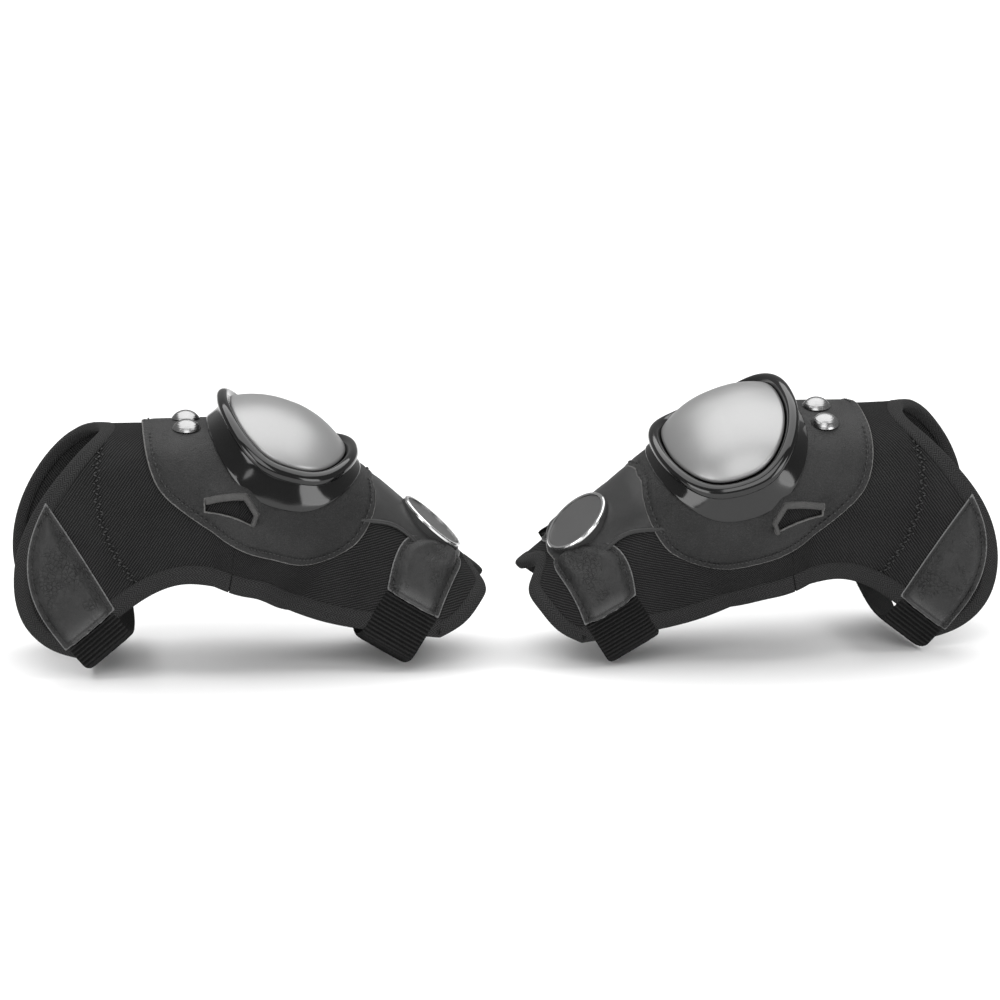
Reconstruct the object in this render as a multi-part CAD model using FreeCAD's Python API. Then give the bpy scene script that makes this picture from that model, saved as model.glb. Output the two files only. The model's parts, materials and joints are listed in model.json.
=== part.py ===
"""A pair of padded knee guards: textile bodies bent at the knee, leather bibs, flared knee cups,
leather shin panels with a round badge, and two hook-and-loop straps on each guard.

One guard is drawn in its own frame and placed twice, the second time mirrored. In the guard's frame
+X runs from thigh to shin, +Z is the front of the knee, -Y is the outer side of the leg, and the
origin is on the knee axis. The skin is a U-shaped section that follows the ridge: a straight thigh,
an arc over the knee and a straight shin. Each layer is that skin between two offsets, and each piece
is a layer cut by an outline. Outlines are drawn on a plane tipped by VIEW_TILT, as (u, v).
Lengths are in millimetres and angles in degrees.
"""
import FreeCAD, Part
import math
import os

V = FreeCAD.Vector

# Driving dimensions: the ridge
RIDGE_HEIGHT = 28.0
ARC_START_X = -24.0
ARC_RADIUS = 172.0
KNEE_BEND = 42.0
THIGH_END = -140.0
SHIN_END = 215.0

# Driving dimensions: the section
THIGH_HALF_WIDTH = 50.0
KNEE_HALF_WIDTH = 61.0
SHIN_HALF_WIDTH = 46.0
THIGH_CROWN = 48.0
KNEE_CROWN = 52.0
SHIN_CROWN = 36.0
SQUARENESS = 2.5
THIGH_DEPTH = 150.0
SHIN_DEPTH = 112.0
LEAN_STEPS = 60
POINTS_ON_HALF = 12
STATION_COUNT = 18
BOX_DEVIATION = 0.1

# Layers, as offsets from the outer face of the textile
TEXTILE = (-1.8, 0.0)
FOAM = (-7.6, -2.0)
LINING = (-9.2, -7.8)
THIGH_BACKING = (-5.2, -2.0)
LEATHER = (0.2, 2.4)
TAB = (0.2, 2.2)
BAND = (0.2, 1.5)
LAP = 0.2
LIP_THICK = 1.6

# Knee axis cuts: the thigh and the shin panels end on arcs about the knee axis
THIGH_CUT = 100.0
SHIN_CUT = 87.5
FLEX_GAP = 0.5

# Knee cup
CUP_CENTRE = 51.5
CUP_BASE = (52.0, 68.0)
CUP_NECK = (44.5, 58.0)
CUP_RIM = (43.0, 56.5)
CUP_MOUTH = (39.0, 52.0)
CUP_FOOT = 2.7
CUP_FOOT_THICK = 2.0
CUP_RIM_HEIGHT = 14.0
CUP_RIM_TILT = 4.5
CUP_RIM_RADIUS = 3.6
CUP_SQUARENESS = 2.4
CUP_SEAT = -3.0
DOME_EDGE_GAP = 0.5
DOME_RISE = 8.5
DOME_THICK = 2.4

# Fasteners, badge and straps
RIVET_X = -39.5
RIVET_HALF_PITCH = 12.5
RIVET_RADIUS = 9.6
RIVET_RISE = 5.8
RIVET_SHANK_RADIUS = 3.0
WASHER_RADIUS = 7.0
WASHER_THICK = 1.2
WASHER_CLEAR = 0.6
BADGE_ALONG_SHIN = 41.0
BADGE_RADIUS = 24.5
BADGE_BASE_TOP = 3.6
BADGE_RIM_TOP = 5.6
BADGE_RIM_WIDTH = 2.2
BADGE_CLEAR = 0.5
BADGE_SINK = 6.0
RIM_CHAMFER = 0.65
DISC_GAP = 0.15
DISC_THICK = 1.0
DOME_STEPS = 8
FIT_GAP = 0.1
DRILL = 20.0
REACH = 120.0
FAR = 300.0
STRAP_WIDTH = 40.0
STRAP_THICK = 2.0
STRAP_CLEAR = 0.5
STRAP_START = 1.6
SHIN_SWING_ROOM = 1.2
BEND_STEPS = 16
BEND_POWER = 0.8
HOOK_THICK = 1.0
HOOK_MARGIN = 2.0
HOOK_CLEAR = 0.3
ZONE_MARGIN = 20.0
EDGE_BAND = 12.0
HEM_BAND = (8.0, -6.0)
PIPING_WIDTH = 3.2
PIPING_RISE = 2.4
SEAM_GAP = 0.4

VIEW_TILT = 15.0
RIGHT_PLACE = (0.0, 0.0, 0.0, 3.4, 0.0)
LEFT_PLACE = (344.0, 17.0, 0.0, 12.0, 12.0)


def blend(value, start, end):
    """Rise smoothly from 0 at start to 1 at end."""
    share = min(max((value - start) / (end - start), 0.0), 1.0)
    return share * share * (3.0 - 2.0 * share)


def between(first, second, share):
    return first + (second - first) * share


def slope(s):
    """Downward slope of the ridge at s, in radians; s is 0 where the knee arc starts."""
    return min(max(s / ARC_RADIUS, 0.0), math.radians(KNEE_BEND))


def ridge(s):
    """Point of the ridge, as (x, z)."""
    turn = slope(s)
    past = s - turn * ARC_RADIUS
    x = ARC_START_X + ARC_RADIUS * math.sin(turn) + past * math.cos(turn)
    z = RIDGE_HEIGHT - ARC_RADIUS * (1.0 - math.cos(turn)) - past * math.sin(turn)
    return x, z


def along_x(x):
    """Station of the ridge above x, for a point on the thigh or on the arc."""
    across = x - ARC_START_X
    return across if across < 0 else ARC_RADIUS * math.asin(across / ARC_RADIUS)


SHIN_START = ARC_RADIUS * math.radians(KNEE_BEND)
STATIONS = [THIGH_END + (SHIN_END - THIGH_END) * k / STATION_COUNT for k in range(STATION_COUNT + 1)]


def half_width(s):
    narrow = between(THIGH_HALF_WIDTH, KNEE_HALF_WIDTH, blend(s, -60.0, 25.0))
    return narrow - (KNEE_HALF_WIDTH - SHIN_HALF_WIDTH) * blend(s, 60.0, 130.0)


def crown(s):
    high = between(THIGH_CROWN, KNEE_CROWN, blend(s, -60.0, 25.0))
    return high - (KNEE_CROWN - SHIN_CROWN) * blend(s, 60.0, 140.0)


def depth(s):
    return between(THIGH_DEPTH, SHIN_DEPTH, blend(s, -30.0, 110.0))


def at_station(s, y, rise):
    """Point beside the ridge at s: y across the leg, rise along the ridge's outward normal."""
    turn = slope(s)
    x, z = ridge(s)
    return V(x + rise * math.sin(turn), y, z + rise * math.cos(turn))


def section(s, offset, lean):
    """Point of the skin at station s, turned by lean (radians) from the ridge, up to a right angle."""
    power = 2.0 / SQUARENESS
    width = half_width(s) + offset
    height = crown(s) + offset
    side = math.copysign(abs(math.sin(lean)) ** power, lean)
    return at_station(s, width * side, height * math.cos(lean) ** power - crown(s))


def half_section(s, offset):
    """Finely spaced points from the ridge down to the foot of the outer wall."""
    points = [section(s, offset, -math.radians(90.0 * k / LEAN_STEPS)) for k in range(LEAN_STEPS + 1)]
    points.append(at_station(s, -(half_width(s) + offset), -depth(s)))
    return points


def evenly_spaced(points, count):
    """count + 1 points at equal distances along a chain of points."""
    run = [0.0]
    for a, b in zip(points, points[1:]):
        run.append(run[-1] + a.distanceToPoint(b))
    spaced = []
    k = 0
    for i in range(count + 1):
        wanted = run[-1] * i / count
        while k < len(run) - 2 and run[k + 1] < wanted:
            k += 1
        share = (wanted - run[k]) / (run[k + 1] - run[k])
        spaced.append(points[k] + (points[k + 1] - points[k]) * share)
    return spaced


def section_points(s, offset):
    """The whole U at station s, from the foot of the inner wall to the foot of the outer one."""
    outer = evenly_spaced(half_section(s, offset), POINTS_ON_HALF)
    inner = [V(p.x, -p.y, p.z) for p in outer[:0:-1]]
    return inner + outer


def spline(points):
    curve = Part.BSplineCurve()
    curve.interpolate(points)
    return curve.toShape()


def line(a, b):
    return Part.LineSegment(a, b).toShape()


def solid_between(lower, upper):
    """Closed solid between two grids of points of the same size."""
    surfaces = []
    for grid in (lower, upper):
        surface = Part.BSplineSurface()
        surface.interpolate(grid)
        surfaces.append(surface)
    faces = [surface.toShape() for surface in surfaces]
    below, above = surfaces
    u_low, u_high, v_low, v_high = below.bounds()
    rims = [(below.uIso(u), above.uIso(u)) for u in (u_low, u_high)]
    rims += [(below.vIso(v), above.vIso(v)) for v in (v_low, v_high)]
    for first, second in rims:
        faces.append(Part.makeRuledSurface(first.toShape(), second.toShape()))
    shell = Part.makeShell(faces)
    shell.sewShape()
    return Part.makeSolid(Part.Shell(shell.Faces))


def layer(offsets):
    """The skin between two offsets, over the whole guard."""
    return solid_between(*[[section_points(s, offset) for s in STATIONS] for offset in offsets])


def tipped(u, v):
    """Point of the middle plane that is seen at (u, v) on the tipped plane."""
    return V(u, 0.0, v / math.cos(math.radians(VIEW_TILT)))


def mirrored(shape):
    return shape.mirror(V(0, 0, 0), V(0, 1, 0))


def outline_tool(stretches, sides=(-1, 1)):
    """Prisms on the chosen sides whose outline is made of stretches: each is a list of (u, v), smooth
    where it has more than two points, and each starts where the one before it ends."""
    edges = []
    for stretch in stretches:
        points = [tipped(u, v) for u, v in stretch]
        edges.append(spline(points) if len(points) > 2 else line(*points))
    face = Part.Face(Part.Wire(edges))
    tilt = math.radians(VIEW_TILT)
    near = face.extrude(V(0, -math.cos(tilt), math.sin(tilt)) * REACH)
    prisms = {-1: near, 1: mirrored(near)}
    chosen = [prisms[side] for side in sides]
    return chosen[0] if len(chosen) == 1 else chosen[0].fuse(chosen[1])


def closed(points):
    """Stretches of a polygon with straight sides."""
    return [[a, b] for a, b in zip(points, points[1:] + points[:1])]


HEM = [(-96.0, 29.5), (-118.0, 3.0), (-138.0, -24.0), (-150.0, -48.0), (-155.0, -76.0),
       (-148.0, -104.5), (-131.0, -120.0), (-108.0, -127.0)]
THIGH_CORNER = [(-108.0, -127.0), (-91.5, -103.0)]
LOWER_EDGE = [(-91.5, -103.0), (-64.0, -84.0), (-46.0, -78.0), (-20.0, -81.0), (10.0, -90.0),
              (46.0, -103.0), (79.0, -110.0), (127.0, -116.0)]
SHIN_HEM = [(127.0, -116.0), (143.0, -106.0), (156.0, -89.0), (158.0, -78.0), (149.0, -64.0)]
BIB_EDGE = [(-69.0, 22.0), (-65.5, 0.0), (-58.0, -16.5), (-44.0, -29.5), (-16.0, -50.0),
            (15.0, -62.5), (45.0, -65.0), (70.0, -54.0), (82.0, -36.0), (83.0, -12.0)]
SLOT = [(-28.0, -21.5), (-2.0, -19.5), (6.0, -31.5), (3.0, -39.5), (-28.5, -29.5)]
THIGH_TAB = [(-134.0, -22.0), (-143.0, -42.0), (-147.0, -64.0), (-143.0, -88.0), (-122.0, -121.0)]
THIGH_TAB_FRONT = [(-89.0, -94.0), (-112.0, -56.0), (-134.0, -22.0)]
SHIN_TAB = [(92.0, -83.5), (105.0, -50.0), (113.0, -47.5), (130.0, -53.0), (140.0, -62.0),
            (138.0, -76.0), (126.0, -103.5)]
SHIN_SEAM = [(60.0, -36.0), (82.0, -38.5), (96.0, -41.5), (108.0, -50.0), (128.0, -84.0),
             (136.0, -112.0)]


SLOT_LIP = [(-28.5, -20.9), (-1.6, -18.9), (6.8, -31.5), (11.0, -31.0), (0.5, -14.6), (-29.5, -16.6)]
BEYOND_SHIN = 190.0
ABOVE = 90.0


def roofed(edge):
    """Closed stretches of an edge that ends high above the ridge at both ends."""
    (first_u, _), (last_u, last_v) = edge[0], edge[-1]
    roof = [(last_u, last_v), (last_u, ABOVE), (first_u, ABOVE), edge[0]]
    return [edge] + [[a, b] for a, b in zip(roof, roof[1:])]


def body_outline():
    roof = [SHIN_HEM[-1], (BEYOND_SHIN, SHIN_HEM[-1][1]), (BEYOND_SHIN, ABOVE), (HEM[0][0], ABOVE), HEM[0]]
    return [HEM, THIGH_CORNER, LOWER_EDGE, SHIN_HEM] + [[a, b] for a, b in zip(roof, roof[1:])]


def above_seam(drop):
    """Closed stretches of all that lies above the shin seam, lowered by drop."""
    seam = [(u - 0.5 * drop, v - drop) for u, v in SHIN_SEAM]
    roof = [seam[-1], (BEYOND_SHIN, seam[-1][1]), (BEYOND_SHIN, ABOVE), (0.0, ABOVE), (0.0, seam[0][1]), seam[0]]
    return [seam] + [[a, b] for a, b in zip(roof, roof[1:])]


def knee_cylinder(radius):
    return Part.makeCylinder(radius, 2 * REACH, V(0, -REACH, 0), V(0, 1, 0))


def solids(shape, smallest=5.0):
    found = [s for s in shape.Solids if s.Volume > smallest]
    return found[0] if len(found) == 1 else Part.makeCompound(found)


class Skin:
    """The layers of one guard, cut to the body outline, and the regions they are divided into."""

    def __init__(self):
        self.body = outline_tool(body_outline())
        self.thigh_side = Part.makeBox(FAR, 2 * FAR, 2 * FAR, V(-FAR, -FAR, -FAR))
        self.shin_side = Part.makeBox(FAR, 2 * FAR, 2 * FAR, V(0, -FAR, -FAR))

    def cut_layer(self, offsets):
        return layer(offsets).common(self.body)

    def knee(self, sheet):
        inner = knee_cylinder(THIGH_CUT).common(self.thigh_side)
        front = knee_cylinder(SHIN_CUT).common(self.shin_side)
        return solids(sheet.common(inner.fuse(front)))

    def thigh(self, sheet):
        return solids(sheet.common(self.thigh_side).cut(knee_cylinder(THIGH_CUT + FLEX_GAP)))

    def shin(self, sheet):
        return solids(sheet.common(self.shin_side).cut(knee_cylinder(SHIN_CUT + FLEX_GAP)))


def strip_along(edge, across, sides=(-1, 1)):
    """Prism along an open outline, as wide as across, a (u, v) step."""
    far = [(u + across[0], v + across[1]) for u, v in edge]
    return outline_tool([edge, [edge[-1], far[-1]], far[::-1], [far[0], edge[0]]], sides)


def cup_ring_point(axes, angle, rise):
    """Point over the closed curve of the cup with these half axes, rise above the skin."""
    power = 2.0 / CUP_SQUARENESS
    along = math.copysign(abs(math.cos(angle)) ** power, math.cos(angle))
    around = math.sin(angle) ** power if math.sin(angle) > 1e-9 else 0.0
    return over_skin(CUP_CENTRE + axes[0] * along, axes[1] * around, rise)


def girth_table(s):
    """Distances around the section from the ridge, with their leans."""
    table = [(0.0, 0.0)]
    steps = 90
    before = section(s, 0.0, 0.0)
    for k in range(1, steps + 1):
        lean = math.radians(k * 90.0 / steps)
        point = section(s, 0.0, lean)
        table.append((table[-1][0] + point.distanceToPoint(before), lean))
        before = point
    return table


def over_skin(s, around, rise):
    """Point at a distance around the section from the ridge, on the -Y side, rise above the skin."""
    table = girth_table(s)
    for (low, lean_low), (high, lean_high) in zip(table, table[1:]):
        if around <= high:
            lean = between(lean_low, lean_high, (around - low) / (high - low))
            break
    else:
        wall = around - table[-1][0]
        return at_station(s, -(half_width(s) + rise), -crown(s) - wall)
    here = section(s, 0.0, -lean)
    ahead = section(s, 0.0, -min(lean + 0.03, math.pi / 2))
    behind = section(s, 0.0, -max(lean - 0.03, 0.0) if lean > 0.03 else 0.03 - lean)
    run = ahead - behind
    out = V(math.cos(slope(s)), 0, -math.sin(slope(s))).cross(run)
    out.normalize()
    return here + out * (rise if out.dot(at_station(s, -1e-3, 1.0) - at_station(s, 0, 0)) > 0 else -rise)


def rim_height(angle):
    return CUP_RIM_HEIGHT - CUP_RIM_TILT * math.cos(angle)


def cup_section(angle):
    """Closed section of the cup ring: flared foot, neck, rounded rim and inner wall."""
    top = rim_height(angle)
    radius = CUP_RIM_RADIUS
    foot = CUP_FOOT + CUP_FOOT_THICK
    mid = (CUP_BASE[0] * 0.35 + CUP_NECK[0] * 0.65, CUP_BASE[1] * 0.35 + CUP_NECK[1] * 0.65)
    widened = (CUP_RIM[0] + radius, CUP_RIM[1] + radius)
    outer = [(CUP_BASE, foot), (mid, foot + 0.16 * (top - foot)), (CUP_NECK, 0.5 * (top - radius) + foot * 0.5),
             (CUP_NECK, top - radius * 0.7), (widened, top), (CUP_RIM, top + radius), (CUP_MOUTH, top)]
    points = [cup_ring_point(axes, angle, rise) for axes, rise in outer]
    low_in = cup_ring_point(CUP_MOUTH, angle, CUP_FOOT)
    low_out = cup_ring_point(CUP_BASE, angle, CUP_FOOT)
    return Part.Wire([line(low_out, points[0]), spline(points), line(points[-1], low_in),
                      line(low_in, low_out)])


def cup_shell():
    steps = 20
    wires = [cup_section(math.pi * k / steps) for k in range(steps + 1)]
    half = Part.makeLoft(wires, True, False)
    return solids(half.fuse(mirrored(half)).cut(layer((CUP_SEAT, LEATHER[1] + LAP))))


def dome_edge(s):
    """Half girth of the dome at station s."""
    share = abs(s - CUP_CENTRE) / (CUP_MOUTH[0] - DOME_EDGE_GAP)
    return (CUP_MOUTH[1] - DOME_EDGE_GAP) * max(1.0 - share ** CUP_SQUARENESS, 0.0) ** (1 / CUP_SQUARENESS)


def dome_section(s, thick):
    edge = dome_edge(s)
    along = (s - CUP_CENTRE) / CUP_MOUTH[0]
    points = []
    for k in range(DOME_STEPS + 1):
        around = edge * (1.0 - k / DOME_STEPS)
        reach = min(abs(along) ** 2 + (around / CUP_MOUTH[1]) ** 2, 1.0)
        rise = CUP_RIM_HEIGHT - CUP_RIM_TILT * along - 1.5 + DOME_RISE * (1.0 - reach) - thick
        points.append(over_skin(s, around, rise))
    return points + [V(p.x, -p.y, p.z) for p in reversed(points[:-1])]


def cup_dome():
    wires = []
    reach = CUP_MOUTH[0] - DOME_EDGE_GAP
    steps = 14
    for k in range(steps + 1):
        s = CUP_CENTRE - (reach - 0.3) * math.cos(math.pi * k / steps)
        outer = dome_section(s, 0.0)
        inner = dome_section(s, DOME_THICK)
        wires.append(Part.Wire([spline(outer), line(outer[-1], inner[-1]), spline(inner[::-1]),
                                line(inner[0], outer[0])]))
    return Part.makeLoft(wires, True, False)


def turned(profile, place, axis):
    """Solid of revolution: profile is (radius, height) points about axis at place."""
    base = V(0, 0, 0)
    points = [V(r, 0, h) for r, h in profile]
    face = Part.Face(Part.makePolygon(points + [points[0]]))
    shape = face.revolve(base, V(0, 0, 1), 360)
    shape.Placement = FreeCAD.Placement(place, FreeCAD.Rotation(V(0, 0, 1), axis))
    return shape


def domed_head(radius, rise, foot):
    """Profile of a domed head: rim edge, arc and centre."""
    sphere = (radius * radius + rise * rise) / (2.0 * rise)
    spread = math.asin(radius / sphere)
    arc = [(sphere * math.sin(spread * (1 - k / DOME_STEPS)),
            foot + rise - sphere * (1 - math.cos(spread * (1 - k / DOME_STEPS)))) for k in range(DOME_STEPS + 1)]
    return arc[:-1] + [(0.0, foot + rise)]


def rivet_axis(side):
    place = over_skin(along_x(RIVET_X), RIVET_HALF_PITCH, 0.0)
    high = over_skin(along_x(RIVET_X), RIVET_HALF_PITCH, 1.0)
    out = high - place
    return V(place.x, -side * place.y, place.z), V(out.x, -side * out.y, out.z)


def rivets():
    """Two domed rivets, each with its shank through bib, textile, foam and lining."""
    foot = LEATHER[1] + 0.3
    end = LINING[0] - 1.4
    profile = domed_head(RIVET_RADIUS, RIVET_RISE, foot)
    profile += [(0.0, end), (RIVET_SHANK_RADIUS, end), (RIVET_SHANK_RADIUS, foot), (RIVET_RADIUS, foot)]
    return Part.makeCompound([turned(profile[:-1], *rivet_axis(side)) for side in (-1, 1)])


def washers():
    top = LINING[0] - WASHER_CLEAR
    end = top - WASHER_THICK
    hole = RIVET_SHANK_RADIUS + FIT_GAP
    ring = [(hole, end), (WASHER_RADIUS, end), (WASHER_RADIUS, top), (hole, top)]
    return Part.makeCompound([turned(ring, *rivet_axis(side)) for side in (-1, 1)])


def rivet_holes():
    bore = RIVET_SHANK_RADIUS + FIT_GAP
    hole = [(0.0, -DRILL), (bore, -DRILL), (bore, DRILL), (0.0, DRILL)]
    return Part.makeCompound([turned(hole, *rivet_axis(side)) for side in (-1, 1)])


def badge_place():
    s = SHIN_START + BADGE_ALONG_SHIN
    foot = at_station(s, 0.0, 0.0)
    return foot, at_station(s, 0.0, 1.0) - foot


def badge_base(under):
    disc = [(0.0, -BADGE_SINK), (BADGE_RADIUS, -BADGE_SINK), (BADGE_RADIUS, BADGE_BASE_TOP),
            (0.0, BADGE_BASE_TOP)]
    return solids(turned(disc, *badge_place()).cut(under))


def badge_clearance():
    """Cylinder that keeps the leather tabs clear of the badge."""
    reach = BADGE_RADIUS + BADGE_CLEAR
    return turned([(0.0, -DRILL), (reach, -DRILL), (reach, DRILL), (0.0, DRILL)], *badge_place())


def badge_rim():
    low = BADGE_BASE_TOP + FIT_GAP
    inside = BADGE_RADIUS - BADGE_RIM_WIDTH
    ring = [(inside, low), (BADGE_RADIUS, low), (BADGE_RADIUS, BADGE_RIM_TOP - RIM_CHAMFER),
            (BADGE_RADIUS - RIM_CHAMFER, BADGE_RIM_TOP), (inside, BADGE_RIM_TOP)]
    return turned(ring, *badge_place())


def badge_disc():
    low = BADGE_BASE_TOP + FIT_GAP
    reach = BADGE_RADIUS - BADGE_RIM_WIDTH - DISC_GAP
    return turned([(0.0, low), (reach, low), (reach, low + DISC_THICK), (0.0, low + DISC_THICK)], *badge_place())


class Strap:
    """A band round the back of the leg: sewn to the near tab, with its free end over the far tab."""

    def __init__(self, tab_edge, half_leg, wall_foot, drop, hold, swing_room):
        a, b = [wall_point(u, v, half_leg) for u, v in tab_edge]
        self.middle = (a + b) * 0.5
        self.along = b - a
        self.along.normalize()
        self.down = V(self.along.z, 0, -self.along.x)
        self.half_leg = half_leg
        self.wall_foot = wall_foot
        self.drop = drop
        self.hold = hold
        self.swing_room = swing_room

    def at(self, y, d, w):
        """Point at y across the leg, d below the tab's edge and w along the band's width."""
        return self.middle + self.down * d + self.along * w + V(0, y, 0)

    def slab(self, edges_of, width):
        """Prism of a closed outline in the band's plane, centred on the band's width."""
        face = Part.Face(Part.Wire(edges_of(-width / 2.0)))
        return face.extrude(self.along * width)

    def near_y(self):
        return -(self.half_leg + STRAP_CLEAR)

    def far_y(self):
        return self.half_leg + TAB[1] + HOOK_THICK + 2 * STRAP_CLEAR + self.swing_room

    def bend(self, grow):
        """Points of the band's turn under the leg, from the near wall to the far one."""
        near, far = self.near_y() - grow, self.far_y() + grow
        half = (far - near) / 2.0
        deep = self.drop + grow - self.wall_foot
        points = []
        for k in range(BEND_STEPS + 1):
            turn = math.pi * k / BEND_STEPS
            across = math.copysign(abs(math.cos(turn)) ** BEND_POWER, math.cos(turn))
            below = self.wall_foot + deep * max(math.sin(turn), 0.0) ** BEND_POWER
            points.append((near + half * (1.0 - across), below))
        return points

    def face_edges(self, grow, low):
        """One face of the band, seen edge on: down the near wall, round the bend and up to the end."""
        points = [self.at(y, d, low) for y, d in self.bend(grow)]
        start = self.at(self.near_y() - grow, STRAP_START, low)
        end = self.at(self.far_y() + grow, -self.hold, low)
        return start, [line(start, points[0]), spline(points), line(points[-1], end)], end

    def strap(self):
        def edges(low):
            out_start, out, out_end = self.face_edges(STRAP_THICK, low)
            in_start, inside, in_end = self.face_edges(0.0, low)
            return out + [line(out_end, in_end)] + inside[::-1] + [line(in_start, out_start)]
        return self.slab(edges, STRAP_WIDTH)

    def zone(self):
        """Space that the band passes through outside the walls."""
        low = -STRAP_WIDTH / 2.0 - 1.0
        reach = self.half_leg + ZONE_MARGIN
        corners = [self.at(y, d, low) for y, d in
                   ((-reach, 0.2), (reach, 0.2), (reach, self.drop), (-reach, self.drop), (-reach, 0.2))]
        return Part.Face(Part.makePolygon(corners)).extrude(self.along * (STRAP_WIDTH + 2.0))

    def hook(self):
        """Hook patch on the inside of the free end."""
        out = self.far_y() - HOOK_CLEAR
        inside = out - HOOK_THICK
        top = HOOK_MARGIN - self.hold

        def edges(low):
            corners = [self.at(y, d, low) for y, d in
                       ((out, top), (out, -HOOK_MARGIN), (inside, -HOOK_MARGIN), (inside, top))]
            return [line(a, b) for a, b in zip(corners, corners[1:] + corners[:1])]
        return self.slab(edges, STRAP_WIDTH - 2 * HOOK_MARGIN)


def wall_point(u, v, half_leg):
    """Point of the middle plane that is level with the near wall's point seen at (u, v)."""
    tilt = math.radians(VIEW_TILT)
    return V(u, 0.0, (v + half_leg * math.sin(tilt)) / math.cos(tilt))


STRAPS = {
    "thigh": Strap((THIGH_TAB[-1], THIGH_TAB_FRONT[0]), THIGH_HALF_WIDTH, 14.0, 24.0, 34.0, 0.0),
    "shin": Strap((SHIN_TAB[0], SHIN_TAB[-1]), SHIN_HALF_WIDTH, 28.0, 42.0, 24.0, SHIN_SWING_ROOM),
}


def half_space(side):
    """Everything on one side of the middle plane."""
    return Part.makeBox(2 * FAR, FAR, 2 * FAR, V(-FAR, 0 if side > 0 else -FAR, -FAR))


SIDES = {"outer": -1, "inner": 1}


def knee_pieces(skin):
    holes = rivet_holes()
    pieces = {}
    for name, offsets in (("knee_textile", TEXTILE), ("knee_foam", FOAM), ("knee_lining", LINING)):
        pieces[name] = solids(skin.knee(skin.cut_layer(offsets)).cut(holes))
    bib = layer(LEATHER).common(outline_tool(roofed(BIB_EDGE))).common(knee_cylinder(SHIN_CUT))
    pieces["bib"] = solids(bib.cut(outline_tool(closed(SLOT))).cut(holes))
    lip = layer((LEATHER[1] + LAP, LEATHER[1] + LAP + LIP_THICK))
    pieces["bib_slot_lips"] = solids(lip.common(outline_tool(closed(SLOT_LIP))))
    pieces["cup_shell"] = cup_shell()
    pieces["cup_dome"] = cup_dome()
    pieces["rivets"] = rivets()
    pieces["rivet_washers"] = washers()
    edge = layer(BAND).common(strip_along(LOWER_EDGE, (0.0, EDGE_BAND))).common(skin.body)
    pieces["knee_edge_binding"] = skin.knee(edge)
    return pieces, edge


def thigh_pieces(skin):
    textile = skin.thigh(skin.cut_layer(TEXTILE))
    backing = skin.thigh(skin.cut_layer(THIGH_BACKING))
    hem = skin.thigh(layer(BAND).common(strip_along(HEM[:6], HEM_BAND)).common(skin.body))
    tab_sides = [THIGH_TAB, [THIGH_TAB[-1], THIGH_TAB_FRONT[0]], THIGH_TAB_FRONT]
    tabs = skin.thigh(layer(TAB).common(outline_tool(tab_sides)))
    hem = hem.cut(outline_tool(tab_sides))
    pieces = {"thigh_backings": solids(backing), "thigh_hems": solids(hem)}
    for name, side in SIDES.items():
        half = half_space(side)
        pieces["thigh_wing_" + name] = solids(textile.common(half))
        pieces["thigh_tab_" + name] = solids(tabs.common(half))
    return pieces


def shin_pieces(skin, edge):
    pieces = {}
    textile = skin.shin(skin.cut_layer(TEXTILE))
    pieces["shin_panel"] = solids(textile.common(outline_tool(above_seam(0.0))))
    pieces["shin_sides"] = solids(textile.cut(outline_tool(above_seam(SEAM_GAP))))
    pieces["shin_foam"] = solids(skin.shin(skin.cut_layer(FOAM)))
    pieces["shin_lining"] = solids(skin.shin(skin.cut_layer(LINING)))
    tab_sides = [SHIN_TAB, [SHIN_TAB[-1], SHIN_TAB[0]]]
    tab_zone = outline_tool(tab_sides)
    bead = layer((LAP, PIPING_RISE)).common(strip_along(SHIN_SEAM[:4], (0.0, -PIPING_WIDTH)))
    pieces["shin_piping"] = solids(skin.shin(bead).cut(tab_zone))
    low_edge = edge.cut(STRAPS["shin"].zone())
    pieces["shin_edge_binding"] = solids(skin.shin(low_edge).cut(tab_zone))
    under = layer((-14.0, LAP))
    pieces["badge_base"] = badge_base(under)
    pieces["badge_rim"] = badge_rim()
    pieces["badge_disc"] = badge_disc()
    pieces["shin_tabs"] = solids(layer(TAB).common(tab_zone).cut(badge_clearance()))
    return pieces


def strap_pieces():
    pieces = {}
    for name, strap in STRAPS.items():
        pieces[name + "_strap"] = strap.strap()
        pieces[name + "_strap_hook"] = strap.hook()
    return pieces


def build_guard():
    skin = Skin()
    pieces, edge = knee_pieces(skin)
    pieces.update(thigh_pieces(skin))
    pieces.update(shin_pieces(skin, edge))
    pieces.update(strap_pieces())
    return pieces


def guard_placement(place):
    x, y, z, yaw, roll = place
    turn = FreeCAD.Rotation(V(0, 0, 1), yaw) * FreeCAD.Rotation(V(1, 0, 0), roll)
    return FreeCAD.Placement(V(x, y, z), turn)


def placed(shape, place, flip):
    copy = shape.mirror(V(0, 0, 0), V(1, 0, 0)) if flip else shape.copy()
    return copy.transformShape(guard_placement(place).toMatrix(), True)


GUARDS = {"right": (RIGHT_PLACE, False), "left": (LEFT_PLACE, True)}


def box_of(shapes):
    """Tight box of shapes."""
    box = FreeCAD.BoundBox()
    for shape in shapes:
        for point in shape.tessellate(BOX_DEVIATION)[0]:
            box.add(point)
    return box


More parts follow.
